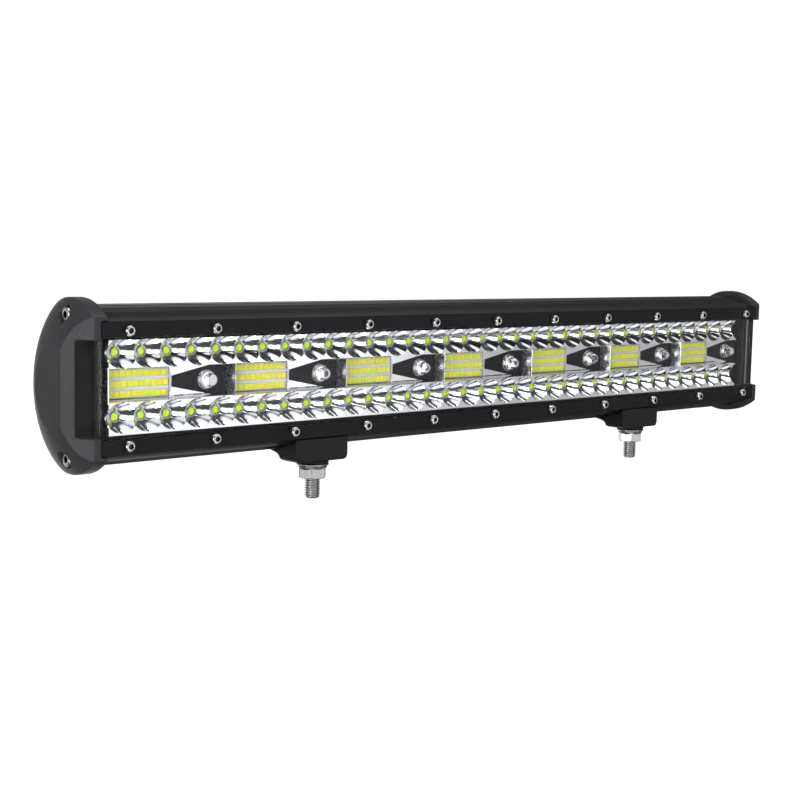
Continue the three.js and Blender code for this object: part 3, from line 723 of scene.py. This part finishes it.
def place_screw(node, mesh, seat, turn, spin):
    """A copy of the screw with its seat at a point, turned about Z and spun on its axis."""
    own = mesh.copy()
    own.transform(Matrix.Rotation(spin, 4, "Y"))
    own.transform(Matrix.Rotation(turn, 4, "Z"))
    own.transform(Matrix.Translation(seat))
    own.transform(Matrix.Scale(MM, 4) @ Matrix.Translation(ORIGIN))
    attach(linked(node + "_detail", own), "bar", "screw_steel", node)


def build_screws():
    """Each screw is spun by its own amount, so that the sockets don't all line up."""
    small = socket_screw(head=2.4, height=2.4, shank=1.4, length=8, socket=2.5)
    large = socket_screw(head=3.3, height=3, shank=1.6, length=18, socket=3)
    for row in ("top", "bottom"):
        for i in range(1, STRIP_SCREWS + 1):
            node = f"{row}_strip_screw_{i:02d}"
            at = node_centre(node)
            place_screw(node, small, (at.x, -GAP, at.z), 0, 0.9 * i + len(row))
    for side, sign in (("left", -1), ("right", 1)):
        for level in ("upper", "lower"):
            node = f"{side}_cap_screw_{level}"
            at = node_centre(node)
            seat = (sign * (CAP_SCREW_SEAT + GAP), at.y, at.z)
            place_screw(node, large, seat, sign * math.pi / 2, 0.4 + sign)
    bpy.data.meshes.remove(small)
    bpy.data.meshes.remove(large)


# ---- optics ----

MODULES, MODULE_PITCH, LED_PITCH, LED_Z, RISE = 7, 69, 13.8, 14.7, 1
FRONT, BACK = 4.7, 12.2
REFLECTOR_HALF, REFLECTOR_Z, ROW_EDGE, SHORT_END = 34.45, 21.5, 7.7, 24.6
THROAT, BOWL_ALONG, BOWL_ACROSS = 2.9, 0.118, 0.153
SIDE_STEPS, BOWL_RINGS, SHELL = 12, 9, 0.45
LED_XS = [(i - 2) * LED_PITCH for i in range(5)]
TROUGH = {"x0": -33.4, "x1": 2.0, "z": 7.0}
WEDGE = {"x0": 3.3, "flare": 25.6, "x1": 33.9, "narrow": 2.6, "wide": 7.2}
CHIP_ROW = {"from": -31.2, "length": 31.6, "half": 1.45, "pitch": 4.75, "stagger": 1}
CHIPS, CHIP_GAP = 10, 0.12
LED_PAD = 1.75
BOARD_HALF, BOARD_Z, BOARD_FRONT, BOARD_BACK = 241.3, 21.3, 12.5, 15.0
PROJECTOR_X, PROJECTOR_BASE, PROJECTOR_PLATE = 22.8, 4.5, 4.7
PROJECTOR_BARREL, PROJECTOR_SHOULDER, PROJECTOR_NOSE = 3.2, 3.2, 3.9
PLATE_TEETH, TOOTH_DEPTH, RIB_DEPTH = 20, 1.15, 0.3


def cup_depth(dx, dz):
    """Depth of a reflector bowl beside its LED; neighbouring bowls meet in a low ridge."""
    return max(FRONT, BACK - BOWL_ACROSS * dz * dz - BOWL_ALONG * dx * dx)


def bowl(bm, cx, side, x_lo, x_hi):
    """One bowl from the LED's hole to a rectangle that its neighbours share."""
    z_hi = REFLECTOR_Z - side * RISE - LED_Z
    corners = [(x_lo - cx, ROW_EDGE - LED_Z), (x_hi - cx, ROW_EDGE - LED_Z),
               (x_hi - cx, z_hi), (x_lo - cx, z_hi)]
    rim = []
    for (ax, az), (bx, bz) in zip(corners, corners[1:] + corners[:1]):
        for k in range(SIDE_STEPS):
            t = k / SIDE_STEPS
            rim.append((ax + (bx - ax) * t, az + (bz - az) * t))
    columns = []
    for ex, ez in rim:
        reach = math.hypot(ex, ez)
        ux, uz = ex / reach, ez / reach
        slope = BOWL_ACROSS * uz * uz + BOWL_ALONG * ux * ux
        mouth = min(reach, math.sqrt((BACK - FRONT) / slope))
        column = [(THROAT * ux, THROAT * uz, BACK)]
        for k in range(BOWL_RINGS + 1):
            r = THROAT + (mouth - THROAT) * k / BOWL_RINGS
            column.append((r * ux, r * uz, cup_depth(r * ux, r * uz)))
        column.append((ex, ez, cup_depth(ex, ez)))
        columns.append([bm.verts.new((cx + x, y, RISE + side * (LED_Z + z)))
                        for x, z, y in column])
    for a, b in zip(columns, columns[1:] + columns[:1]):
        for m in range(len(a) - 1):
            bm.faces.new((a[m], a[m + 1], b[m + 1], b[m]))


def middle_slopes(bm, ridge_xs):
    """Walls from the ridges beside the LED rows down to the chip trough and the wedge.

    The trough's walls and the end walls have the collar material, the wedge's are chrome.
    """
    t, w = TROUGH, WEDGE
    floor = [(t["x0"], t["z"]), (t["x1"], t["z"]), (w["x0"], w["narrow"]),
             (w["flare"], w["wide"]), (w["x1"], w["wide"])]
    for side in (1, -1):
        outline = [Vector((x, FRONT, RISE + side * ROW_EDGE)) for x in ridge_xs]
        outline += [Vector((x, BACK, RISE + side * z)) for x, z in reversed(floor)]
        verts = [bm.verts.new(v) for v in outline]
        flat = [Vector((v.x, v.z, 0)) for v in outline]
        for tri in tessellate_polygon([flat]):
            face = bm.faces.new([verts[i] for i in tri])
            face.material_index = 1 if max(outline[i].x for i in tri) <= t["x1"] + 0.1 else 0
    # the strip between trough and wedge, then the walls at the module's ends, each from
    # (x, y, half height) at one side to the same at the other
    for (xa, ya, za), (xb, yb, zb) in (
            ((t["x1"], BACK, t["z"]), (w["x0"], BACK, w["narrow"])),
            ((ridge_xs[0], FRONT, ROW_EDGE), (t["x0"], BACK, t["z"])),
            ((ridge_xs[-1], FRONT, ROW_EDGE), (w["x1"], BACK, w["wide"]))):
        quad = [(xa, ya, za), (xa, ya, -za), (xb, yb, -zb), (xb, yb, zb)]
        face = bm.faces.new([bm.verts.new((x, y, RISE + z)) for x, y, z in quad])
        face.material_index = 1


def build_reflector(name, leds, right):
    """Thin plated shell: two rows of bowls with the sunken middle between them.

    It is cut off square at right where the last module is short. leds are the ones that get
    a collar.
    """
    bm = bmesh.new()
    edges = [-REFLECTOR_HALF] + [x + LED_PITCH / 2 for x in LED_XS[:-1]] + [REFLECTOR_HALF]
    for cx, x_lo, x_hi in zip(LED_XS, edges, edges[1:]):
        for side in (1, -1):
            bowl(bm, cx, side, x_lo, x_hi)
    middle_slopes(bm, [a + (b - a) * k / SIDE_STEPS for a, b in zip(edges, edges[1:])
                       for k in range(SIDE_STEPS)] + [REFLECTOR_HALF])
    if right < REFLECTOR_HALF:
        bmesh.ops.bisect_plane(bm, geom=bm.verts[:] + bm.edges[:] + bm.faces[:],
                               plane_co=(right, 0, 0), plane_no=(1, 0, 0), clear_outer=True)
    bmesh.ops.remove_doubles(bm, verts=bm.verts, dist=2e-3)
    bmesh.ops.recalc_face_normals(bm, faces=bm.faces)
    if sum(f.normal.y * f.calc_area() for f in bm.faces) > 0:
        bmesh.ops.reverse_faces(bm, faces=bm.faces)
    to_row(bm)
    obj = new_object(name, bm, [CHROME, COLLAR])
    skin = obj.modifiers.new("skin", "SOLIDIFY")
    skin.thickness = SHELL * MM
    skin.offset = -1
    apply_modifiers(obj)
    collars = bmesh.new()
    section = [(1.98, 12.15), (1.98, 11.3), (2.15, 11.05), (2.45, 10.95), (2.7, 11.05),
               (2.84, 11.3), (2.84, 12.15), (1.98, 12.15)]
    for cx in leds:
        for side in (1, -1):
            lathe(section, (cx, RISE + side * LED_Z), "Y", 32, collars, mats=[1] * 7)
    bmesh.ops.remove_doubles(collars, verts=collars.verts, dist=1e-3)
    bmesh.ops.recalc_face_normals(collars, faces=collars.faces)
    to_row(collars)
    shell = bmesh.new()
    shell.from_mesh(obj.data)
    rings = bpy.data.meshes.new("rings")
    collars.to_mesh(rings)
    collars.free()
    shell.from_mesh(rings)
    shell.to_mesh(obj.data)
    shell.free()
    bpy.data.meshes.remove(rings)
    return shade(obj, 24)


def build_reflectors():
    """Six whole modules and the short one at the right."""
    whole = build_reflector("reflector", LED_XS, REFLECTOR_HALF)
    short = build_reflector("short_reflector", LED_XS[:-1], SHORT_END)
    for m in range(1, MODULES + 1):
        base = short if m == MODULES else whole
        x = (m - (MODULES + 1) / 2) * MODULE_PITCH
        obj = shifted_copy(base, f"reflector_{m}_cups", x)
        attach(obj, "bar", "reflector_chrome", f"reflector_{m}")
    bpy.data.objects.remove(whole)
    bpy.data.objects.remove(short)


def build_projectors():
    """Round clear lenses: a ribbed flange, a waist and a domed nose."""
    foot = BACK
    rings = [(0, foot), (PROJECTOR_BASE, foot), (PROJECTOR_BASE, foot - 0.9)]
    rings += [(4.35, foot - 1.2), (4.0, foot - 1.35), (3.5, foot - 1.5)]
    rings += [(3.25, foot - 1.9), (PROJECTOR_BARREL, foot - PROJECTOR_SHOULDER)]
    for i in range(1, 10):
        a = math.pi / 2 * i / 10
        rings.append((PROJECTOR_BARREL * math.cos(a),
                      foot - PROJECTOR_SHOULDER - PROJECTOR_NOSE * math.sin(a)))
    rings.append((0, foot - PROJECTOR_SHOULDER - PROJECTOR_NOSE))

    def ribbed(radius, angle, height):
        if radius > 3.9 and height < foot - 0.5:
            return radius - RIB_DEPTH * (1 + math.cos(PLATE_TEETH * angle)) / 2
        return radius

    base = lathe(rings, (0, RISE), "Y", 192, None, ribbed)
    base = shade(solid("projector", base, [PROJECTOR]), 40)
    for m in range(1, MODULES + 1):
        x = node_centre(f"projector_lens_{m}").x
        obj = shifted_copy(base, f"projector_{m}_lens", x)
        attach(obj, "bar", "projector_clear", f"projector_lens_{m}")
    bpy.data.objects.remove(base)


def cushion(bm, x0, x1, z0, z1, back, front, round_by, mat):
    """A low pad with rounded corners and a rounded edge, from back forward to front."""
    def ring(inset, y):
        r = max(0.05, round_by - inset)
        points = []
        for cx, cz, a in ((x1, z1, 0), (x0, z1, 90), (x0, z0, 180), (x1, z0, 270)):
            sx = -1 if cx == x1 else 1
            sz = -1 if cz == z1 else 1
            points += arc(cx + sx * (r + inset), cz + sz * (r + inset), r, a, a + 90, 3)
        return [bm.verts.new((x, y, z)) for x, z in points]

    rings = [ring(0, back), ring(0, front + 0.15), ring(0.07, front + 0.04), ring(0.2, front)]
    for a, b in zip(rings, rings[1:]):
        loop_faces(bm, a, b, mat)
    face = bm.faces.new(rings[-1])
    face.material_index = mat
    bm.faces.new(list(reversed(rings[0]))).material_index = mat


def toothed(radius, angle, _):
    return radius if math.cos(PLATE_TEETH * angle) > 0 else radius - TOOTH_DEPTH


def build_board():
    """The board with its emitters: rows of domed LEDs, chip strips and projector plates."""
    bm = block(-BOARD_HALF, BOARD_HALF, BOARD_FRONT, BOARD_BACK, -BOARD_Z, BOARD_Z)
    pitch = CHIP_ROW["length"] / CHIPS
    mats = [MASK, PLATE, DOT, CHIP, RIB]
    for m in range(MODULES):
        x = (m - (MODULES - 1) / 2) * MODULE_PITCH
        for led in LED_XS[:-1] if m == MODULES - 1 else LED_XS:
            for side in (1, -1):
                z = RISE + side * LED_Z
                cushion(bm, x + led - LED_PAD, x + led + LED_PAD, z - LED_PAD, z + LED_PAD,
                        BOARD_FRONT, 12.0, 0.3, 1)
                lathe([(1.86, 12.1), (1.86, 11.75), (1.74, 11.52), (1.4, 11.38), (0.8, 11.3),
                       (0, 11.27)], (x + led, z), "Y", 28, bm, mats=[2] * 5)
        cushion(bm, x - 33.0, x + 1.8, RISE - 6.7, RISE + 6.7, BOARD_FRONT, 12.25, 0.5, 1)
        for row in (-1, 0, 1):
            z = RISE + row * CHIP_ROW["pitch"]
            start = x + CHIP_ROW["from"] + (CHIP_ROW["stagger"] if row == 0 else 0)
            for k in range(CHIPS):
                a = start + k * pitch
                cushion(bm, a + CHIP_GAP, a + pitch - CHIP_GAP, z - CHIP_ROW["half"],
                        z + CHIP_ROW["half"], 12.2, 11.62, 0.3, 3)
        lathe([(0, 12.6), (PROJECTOR_PLATE, 12.6), (PROJECTOR_PLATE, 12.4), (0, 12.4)],
              (x + PROJECTOR_X, RISE), "Y", 240, bm, toothed, [4] * 3)
        for z in (RISE - 2.38, RISE + 2.38):
            cushion(bm, x - 32.6, x + 1.6, z - 0.42, z + 0.42, 12.2, 11.8, 0.3, 4)
    to_row(bm)
    bmesh.ops.recalc_face_normals(bm, faces=bm.faces)
    obj = shade(new_object("board_with_emitters", bm, mats), 50)
    return attach(obj, "bar", "led_board", "led_board")


# ---- feet and hardware ----

FOOT_FRONT, FOOT_BASE, FOOT_REAR, FOOT_TOE, FOOT_WIDTH = 1.2, 42.5, 15.5, 27.5, 33
HEEL, FOOT_CORNER = 1.8, 2.4
BOLT_Y, BOLT_END, BOLT_HEAD, BOLT_HEAD_BASE, HEAD_POCKET = 9, 62, 6, -39.1, 6.25
THREAD_PITCH, THREAD_MAJOR, THREAD_MINOR = 1.25, 3.95, 3.1
THREAD_TOP, THREAD_STEPS, ROWS_PER_TURN = -43.2, 48, 12
NUT_FLATS, NUT_BORE, NUT_TOP, NUT_HEIGHT = 13, 4.2, -44.1, 7.6
NUT_TURN = math.radians(18)


def foot_outline():
    """Side view of a foot: the block under the bar and the tongue that fills the T-slot."""
    def under(y):
        return -housing_half(y) - 0.4

    neck0, neck1 = SLOT_Y - SLOT_NECK / 2, SLOT_Y + SLOT_NECK / 2
    head0, head1 = SLOT_Y - SLOT_HEAD / 2, SLOT_Y + SLOT_HEAD / 2
    points = [(FOOT_FRONT, -30.6), (FOOT_FRONT, -FOOT_BASE)]
    points += [(FOOT_REAR - HEEL, -FOOT_BASE)]
    points += arc(FOOT_REAR - HEEL, -FOOT_BASE + HEEL, HEEL, -80, 0, 8)
    toe = under(FOOT_TOE) - 0.9
    rise = toe + FOOT_BASE - HEEL
    for i in range(1, 17):
        a = math.pi / 2 * i / 16
        points.append((FOOT_REAR + (FOOT_TOE - FOOT_REAR) * (1 - math.cos(a)),
                       -FOOT_BASE + HEEL + rise * math.sin(a)))
    points += [(y, under(y)) for y in (FOOT_TOE, 26, 24, 22, 20, 18, 16, neck1)]
    points += [(neck1, -SLOT_HEAD_BOTTOM), (head1, -SLOT_HEAD_BOTTOM), (head1, -SLOT_HEAD_TOP)]
    points += [(head0, -SLOT_HEAD_TOP), (head0, -SLOT_HEAD_BOTTOM), (neck0, -SLOT_HEAD_BOTTOM)]
    points += [(y, under(y)) for y in (neck0, 5.5, 4, 1.95)]
    return points


def build_feet():
    """Two alike feet with rounded lower corners, a pocket for the bolt head and its hole."""
    half, corner = FOOT_WIDTH / 2, FOOT_CORNER
    foot = solid("foot", prism(foot_outline(), -half, half, "X"), [FOOT])
    front = [(-half, 0)] + arc(-half + corner, -FOOT_BASE + corner, corner, 180, 270, 10)
    front += arc(half - corner, -FOOT_BASE + corner, corner, 270, 360, 10) + [(half, 0)]
    boolean(foot, [solid("front", prism(front, -5, 60, "Y"))], "INTERSECT")
    boolean(foot, [
        solid("pocket", block(-HEAD_POCKET, HEAD_POCKET, BOLT_Y - HEAD_POCKET,
                              BOLT_Y + HEAD_POCKET, BOLT_HEAD_BASE - GAP, 0)),
        solid("hole", cylinder((0, BOLT_Y), "Z", 4.3, -FOOT_BASE - 1, -38)),
    ])
    melt(foot, 0.3, 3)
    paint(foot, FOOT)
    for side in ("left", "right"):
        obj = shifted_copy(foot, f"{side}_foot_block", node_centre(f"{side}_foot").x)
        attach(obj, f"{side}_foot", "foot_coated", f"{side}_foot")
    bpy.data.objects.remove(foot)


def thread_wave(phase):
    """Height of the thread, 0 to 1: a short crest, a flank, a round root and a flank."""
    p = phase % 1.0
    if p < 0.12:
        return 1.0
    if p < 0.44:
        return 1 - (p - 0.12) / 0.32
    if p < 0.62:
        return 0.0
    return (p - 0.62) / 0.38


def threaded_stud(x):
    """Stud with a rolled M8 x 1.25 right-hand thread, its square head on top."""
    bm = bmesh.new()
    bottom, steps = -BOLT_END, THREAD_STEPS
    length = THREAD_TOP - bottom
    rows = int(length / THREAD_PITCH * ROWS_PER_TURN)

    def circle(z, reach):
        return [bm.verts.new((x + reach(k) * math.cos(TAU * k / steps),
                              BOLT_Y + reach(k) * math.sin(TAU * k / steps), z))
                for k in range(steps)]

    rings = []
    for n in range(rows + 1):
        z = bottom + length * n / rows
        tip = 2.9 + (z - bottom) * 1.1

        def threaded(k):
            if z > THREAD_TOP - 0.4:
                return min(THREAD_MAJOR, tip)
            wave = thread_wave(z / THREAD_PITCH - k / steps)
            return min(THREAD_MINOR + (THREAD_MAJOR - THREAD_MINOR) * wave, tip)

        rings.append(circle(z, threaded))
    rings.append(circle(-38, lambda _: THREAD_MAJOR))
    for a, b in zip(rings, rings[1:]):
        loop_faces(bm, a, b)
    fan(bm, bm.verts.new((x, BOLT_Y, bottom)), rings[0])
    fan(bm, bm.verts.new((x, BOLT_Y, -38)), rings[-1])
    block(x - BOLT_HEAD, x + BOLT_HEAD, BOLT_Y - BOLT_HEAD, BOLT_Y + BOLT_HEAD,
          BOLT_HEAD_BASE, -36.7, bm)
    return bm


def flange_nut(x):
    """Hexagon with chamfered corners over a conical flange, with a countersunk bore."""
    top, low = NUT_TOP, NUT_TOP - NUT_HEIGHT

    def shape(radius, angle, height):
        hexagon = hex_radius(NUT_FLATS, angle, NUT_TURN)
        if radius != HEX:
            if top - 2.0 < height < top - 1.2:
                return max(radius, min(hexagon, radius + 0.35))
            return radius
        chamfer = 6.35 + (height - low) * 1.75
        cone = 6.85 + (height - (top - 2.6)) * 1.1
        return max(min(hexagon, chamfer), cone if height > top - 2.9 else 0)

    rings = [(NUT_BORE, top), (7.9, top), (8.15, top - 0.12), (8.3, top - 0.4)]
    rings += [(8.25, top - 0.75), (8.0, top - 0.95), (7.3, top - 1.45), (6.95, top - 1.9)]
    rings += [(HEX, top - 2.0 - 0.28 * i) for i in range(21)]
    rings += [(5.9, low), (4.75, low), (NUT_BORE, low + 0.5), (NUT_BORE, top)]
    return lathe(rings, (x, BOLT_Y), "Z", 144, None, shape)


def build_hardware():
    """Stud, nut and washer of each foot, each on the body that carries it."""
    for side in ("left", "right"):
        x = node_centre(f"{side}_bolt").x
        stud = shade(solid(f"{side}_stud", threaded_stud(x), [ZINC]), 50)
        attach(stud, f"{side}_foot", "bolt_zinc", f"{side}_bolt")
        nut = shade(solid(f"{side}_nut", flange_nut(x), [ZINC]), 28)
        attach(nut, f"{side}_nut", "bolt_zinc", f"{side}_flange_nut")
        rings = [(4.25, -43.75), (4.25, -42.85), (7.95, -42.82), (8.15, -42.95), (8.2, -43.3),
                 (8.15, -43.65), (7.95, -43.78), (4.25, -43.75)]
        disc = shade(solid(f"{side}_disc", lathe(rings, (x, BOLT_Y), "Z", 96), [NYLON]))
        attach(disc, f"{side}_washer", "black_nylon", f"{side}_washer")


# ---- gland and breather ----


FITTING_FRONT = 15.8


def build_back_fittings():
    """The cable gland and the breather, both on flat pads between the fins."""
    seat = WEB_BACK + GAP
    x = node_centre("cable_gland").x

    def gland_shape(radius, angle, height):
        if radius != HEX:
            return radius
        # distance to the nearest end of either hexagon, which is chamfered there
        t = min(height - seat, 13 + seat - height, abs(height - seat - 4), abs(height - seat - 6))
        return min(hex_radius(15, angle), 7.6 + 1.6 * max(0, t))

    rings = [(3.2, FITTING_FRONT), (5.7, FITTING_FRONT), (5.7, seat)]
    rings += [(HEX, seat + t) for t in (0.01, 0.25, 0.6, 3.4, 3.75, 3.99)]
    rings += [(6.4, seat + 4), (6.4, seat + 6)]
    rings += [(HEX, seat + t) for t in (6.01, 6.3, 6.7, 12.3, 12.7, 12.99)]
    rings += [(7.2 - 2.6 * (1 - math.cos(a)), seat + 13 + 3.6 * math.sin(a))
              for a in (0.0, 0.3, 0.6, 0.9, 1.2, 1.45)]
    rings += [(4.3, seat + 16.95), (3.5, seat + 17), (3.2, seat + 16.8), (3.2, FITTING_FRONT)]
    gland = solid("gland_body", lathe(rings, (x, 0), "Y", 96, None, gland_shape), [NYLON])
    attach(shade(gland, 30), "bar", "black_nylon", "cable_gland")

    x = node_centre("breather").x

    def vent_shape(radius, angle, height):
        if radius == HEX:
            t = min(height - seat, seat + 2.5 - height)
            return min(hex_radius(11, angle), 5.6 + 1.6 * max(0, t))
        if height > seat + 3 and radius > 4.5:
            return radius - 0.25 * (1 + math.cos(18 * angle)) / 2
        return radius

    rings = [(0, FITTING_FRONT), (3.7, FITTING_FRONT), (3.7, seat)]
    rings += [(HEX, seat + t) for t in (0.01, 0.3, 2.2, 2.49)]
    rings += [(radius, seat + t) for radius, t in (
        (5.0, 2.5), (5.2, 3.1), (5.1, 4.6), (4.9, 5.4), (4.4, 5.85), (3.6, 6), (1.2, 6),
        (1.0, 5.6), (0, 5.6))]
    vent = solid("breather_cap", lathe(rings, (x, 0), "Y", 108, None, vent_shape), [NYLON])
    attach(shade(vent, 30), "bar", "black_nylon", "breather")


# ---- build ----

build_housing()
build_caps()
build_lens()
build_strip("top_strip", 1)
build_strip("bottom_strip", -1)
build_screws()
build_reflectors()
build_projectors()
build_board()
build_feet()
build_hardware()
build_back_fittings()
for name in ("lens_seal", "left_end_gasket", "right_end_gasket"):
    paint(nodes[name], SEAL)

# ---- stage, lights and camera ----

FLOOR_RADIUS, FLOOR_BELOW = 6, 0.002
FLOOR_GLOW, GLOW_SHARE = 1.12, 0.85
DARK_LEVEL, MATT_LEVEL, BACKDROP_LEVEL = 0.07, 0.6, 1.08


def build_floor():
    """A pale disc that mostly glows for the camera, so that its shadows stay faint.

    Reflections in shiny surfaces and views from below go through it.
    """
    bm = bmesh.new()
    bmesh.ops.create_circle(bm, cap_ends=True, segments=96, radius=FLOOR_RADIUS)
    for v in bm.verts:
        v.co.z = cad_lo.z - FLOOR_BELOW
    f = Finish("floor_pale", (0.9, 0.9, 0.9), 0.7, 0.0, Specular_IOR_Level=0.1)
    f.color(f.noise(3, 2), (0.89, 0.89, 0.892), (0.91, 0.91, 0.912))
    ray = f.tree.nodes.new("ShaderNodeLightPath").outputs
    past = f.tree.nodes.new("ShaderNodeBsdfTransparent").outputs["BSDF"]
    glow = add_node(f.tree, "ShaderNodeEmission", Strength=FLOOR_GLOW).outputs["Emission"]
    # glossy rays that have met no matt surface on their way
    mirrored = calculate(f.tree, "SUBTRACT", ray["Is Glossy Ray"], ray["Diffuse Depth"], True)
    seen = calculate(f.tree, "MULTIPLY", ray["Is Camera Ray"], GLOW_SHARE)
    under = f.tree.nodes.new("ShaderNodeNewGeometry").outputs["Backfacing"]
    shader = f.shader
    for share, other in ((mirrored, past), (seen, glow), (under, past)):
        shader = blend(f.tree, share, shader, other)
    f.surface(shader)
    new_object("floor", bm, [f.mat])


def area(name, location, size, power):
    """A soft lamp aimed at the bar, which isn't seen in its reflections."""
    data = bpy.data.lights.new(name, "AREA")
    data.shape = "RECTANGLE"
    data.size, data.size_y = size
    data.energy = power
    obj = linked(name, data)
    obj.location = location
    aim = Vector((0, 0, 0.04)) - Vector(location)
    obj.rotation_euler = aim.to_track_quat("-Z", "Y").to_euler()
    obj.visible_glossy = False


# softboxes seen in reflections: direction, degrees off it where each is full and gone, level
SOFTBOXES = [
    ((-0.10, -0.12, 0.98), 14, 30, 1.5),
    ((-0.70, -0.70, -0.12), 12, 27, 1.12),
    ((-0.98, -0.12, 0.0), 8, 25, 3.6),
    ((-0.50, 0.86, 0.0), 10, 30, 0.35),
    ((0.42, 0.88, 0.22), 8, 34, 0.5),
    ((0.25, 0.86, -0.44), 14, 34, 1.0),
    ((0.42, -0.90, 0.00), 8, 22, 1.0),
    ((0.76, -0.65, 0.00), 8, 20, 0.42),
    ((0.50, -0.10, 0.86), 8, 22, 1.5),
    ((0.05, -0.80, -0.60), 14, 34, 0.9),
]


def build_world():
    """White for the camera, even for matt surfaces, dark with softboxes in reflections."""
    world = bpy.data.worlds.new("studio")
    world.use_nodes = True
    bpy.context.scene.world = world
    tree = world.node_tree
    direction = tree.nodes.new("ShaderNodeTexCoord").outputs["Generated"]
    total = DARK_LEVEL
    for aim, full, gone, level in SOFTBOXES:
        dot = add_node(tree, "ShaderNodeVectorMath", operation="DOT_PRODUCT")
        put(tree, dot.inputs[0], direction)
        put(tree, dot.inputs[1], Vector(aim).normalized())
        fade = add_node(tree, "ShaderNodeMapRange", interpolation_type="SMOOTHSTEP",
                        Value=dot.outputs["Value"], From_Min=math.cos(math.radians(gone)),
                        From_Max=math.cos(math.radians(full)), To_Min=0.0, To_Max=level)
        total = calculate(tree, "ADD", fade.outputs["Result"], total)
    ray = tree.nodes.new("ShaderNodeLightPath").outputs
    for share, level in ((ray["Diffuse Depth"], MATT_LEVEL),
                         (ray["Is Camera Ray"], BACKDROP_LEVEL)):
        total = add_node(tree, "ShaderNodeMix", Factor=share, A=total,
                         B=level).outputs["Result"]
    background = tree.nodes["Background"].inputs
    put(tree, background["Strength"], total)
    put(tree, background["Color"], (1, 1, 1, 1))


def build_camera():
    """The photo's own view, with the slight roll it was taken at."""
    azimuth, elevation, roll = (math.radians(a) for a in (-42.01, 6.06, 1.18))
    back = Vector((math.sin(azimuth) * math.cos(elevation),
                   -math.cos(azimuth) * math.cos(elevation), math.sin(elevation)))
    right = (-back).cross(Vector((0, 0, 1))).normalized()
    up = right.cross(-back)
    across = math.cos(roll) * right + math.sin(roll) * up
    upward = -math.sin(roll) * right + math.cos(roll) * up
    data = bpy.data.cameras.new("camera")
    data.sensor_width, data.lens = 36, 65.25
    data.clip_start, data.clip_end = 0.01, 50
    camera = linked("camera", data)
    turn = Matrix((across, upward, back)).transposed().to_4x4()
    camera.matrix_world = Matrix.Translation((-0.57555, -0.56994, 0.10842)) @ turn
    bpy.context.scene.camera = camera


build_floor()
build_world()
area("key_top", (-0.5, -0.4, 1.5), (1.6, 1.2), 14)
area("side_left", (-0.78, -0.42, 0.14), (0.3, 0.4), 2.6)
area("back_fill", (0.35, 1.3, 0.75), (1.8, 0.9), 26)
build_camera()
bpy.context.scene.view_settings.view_transform = "Standard"
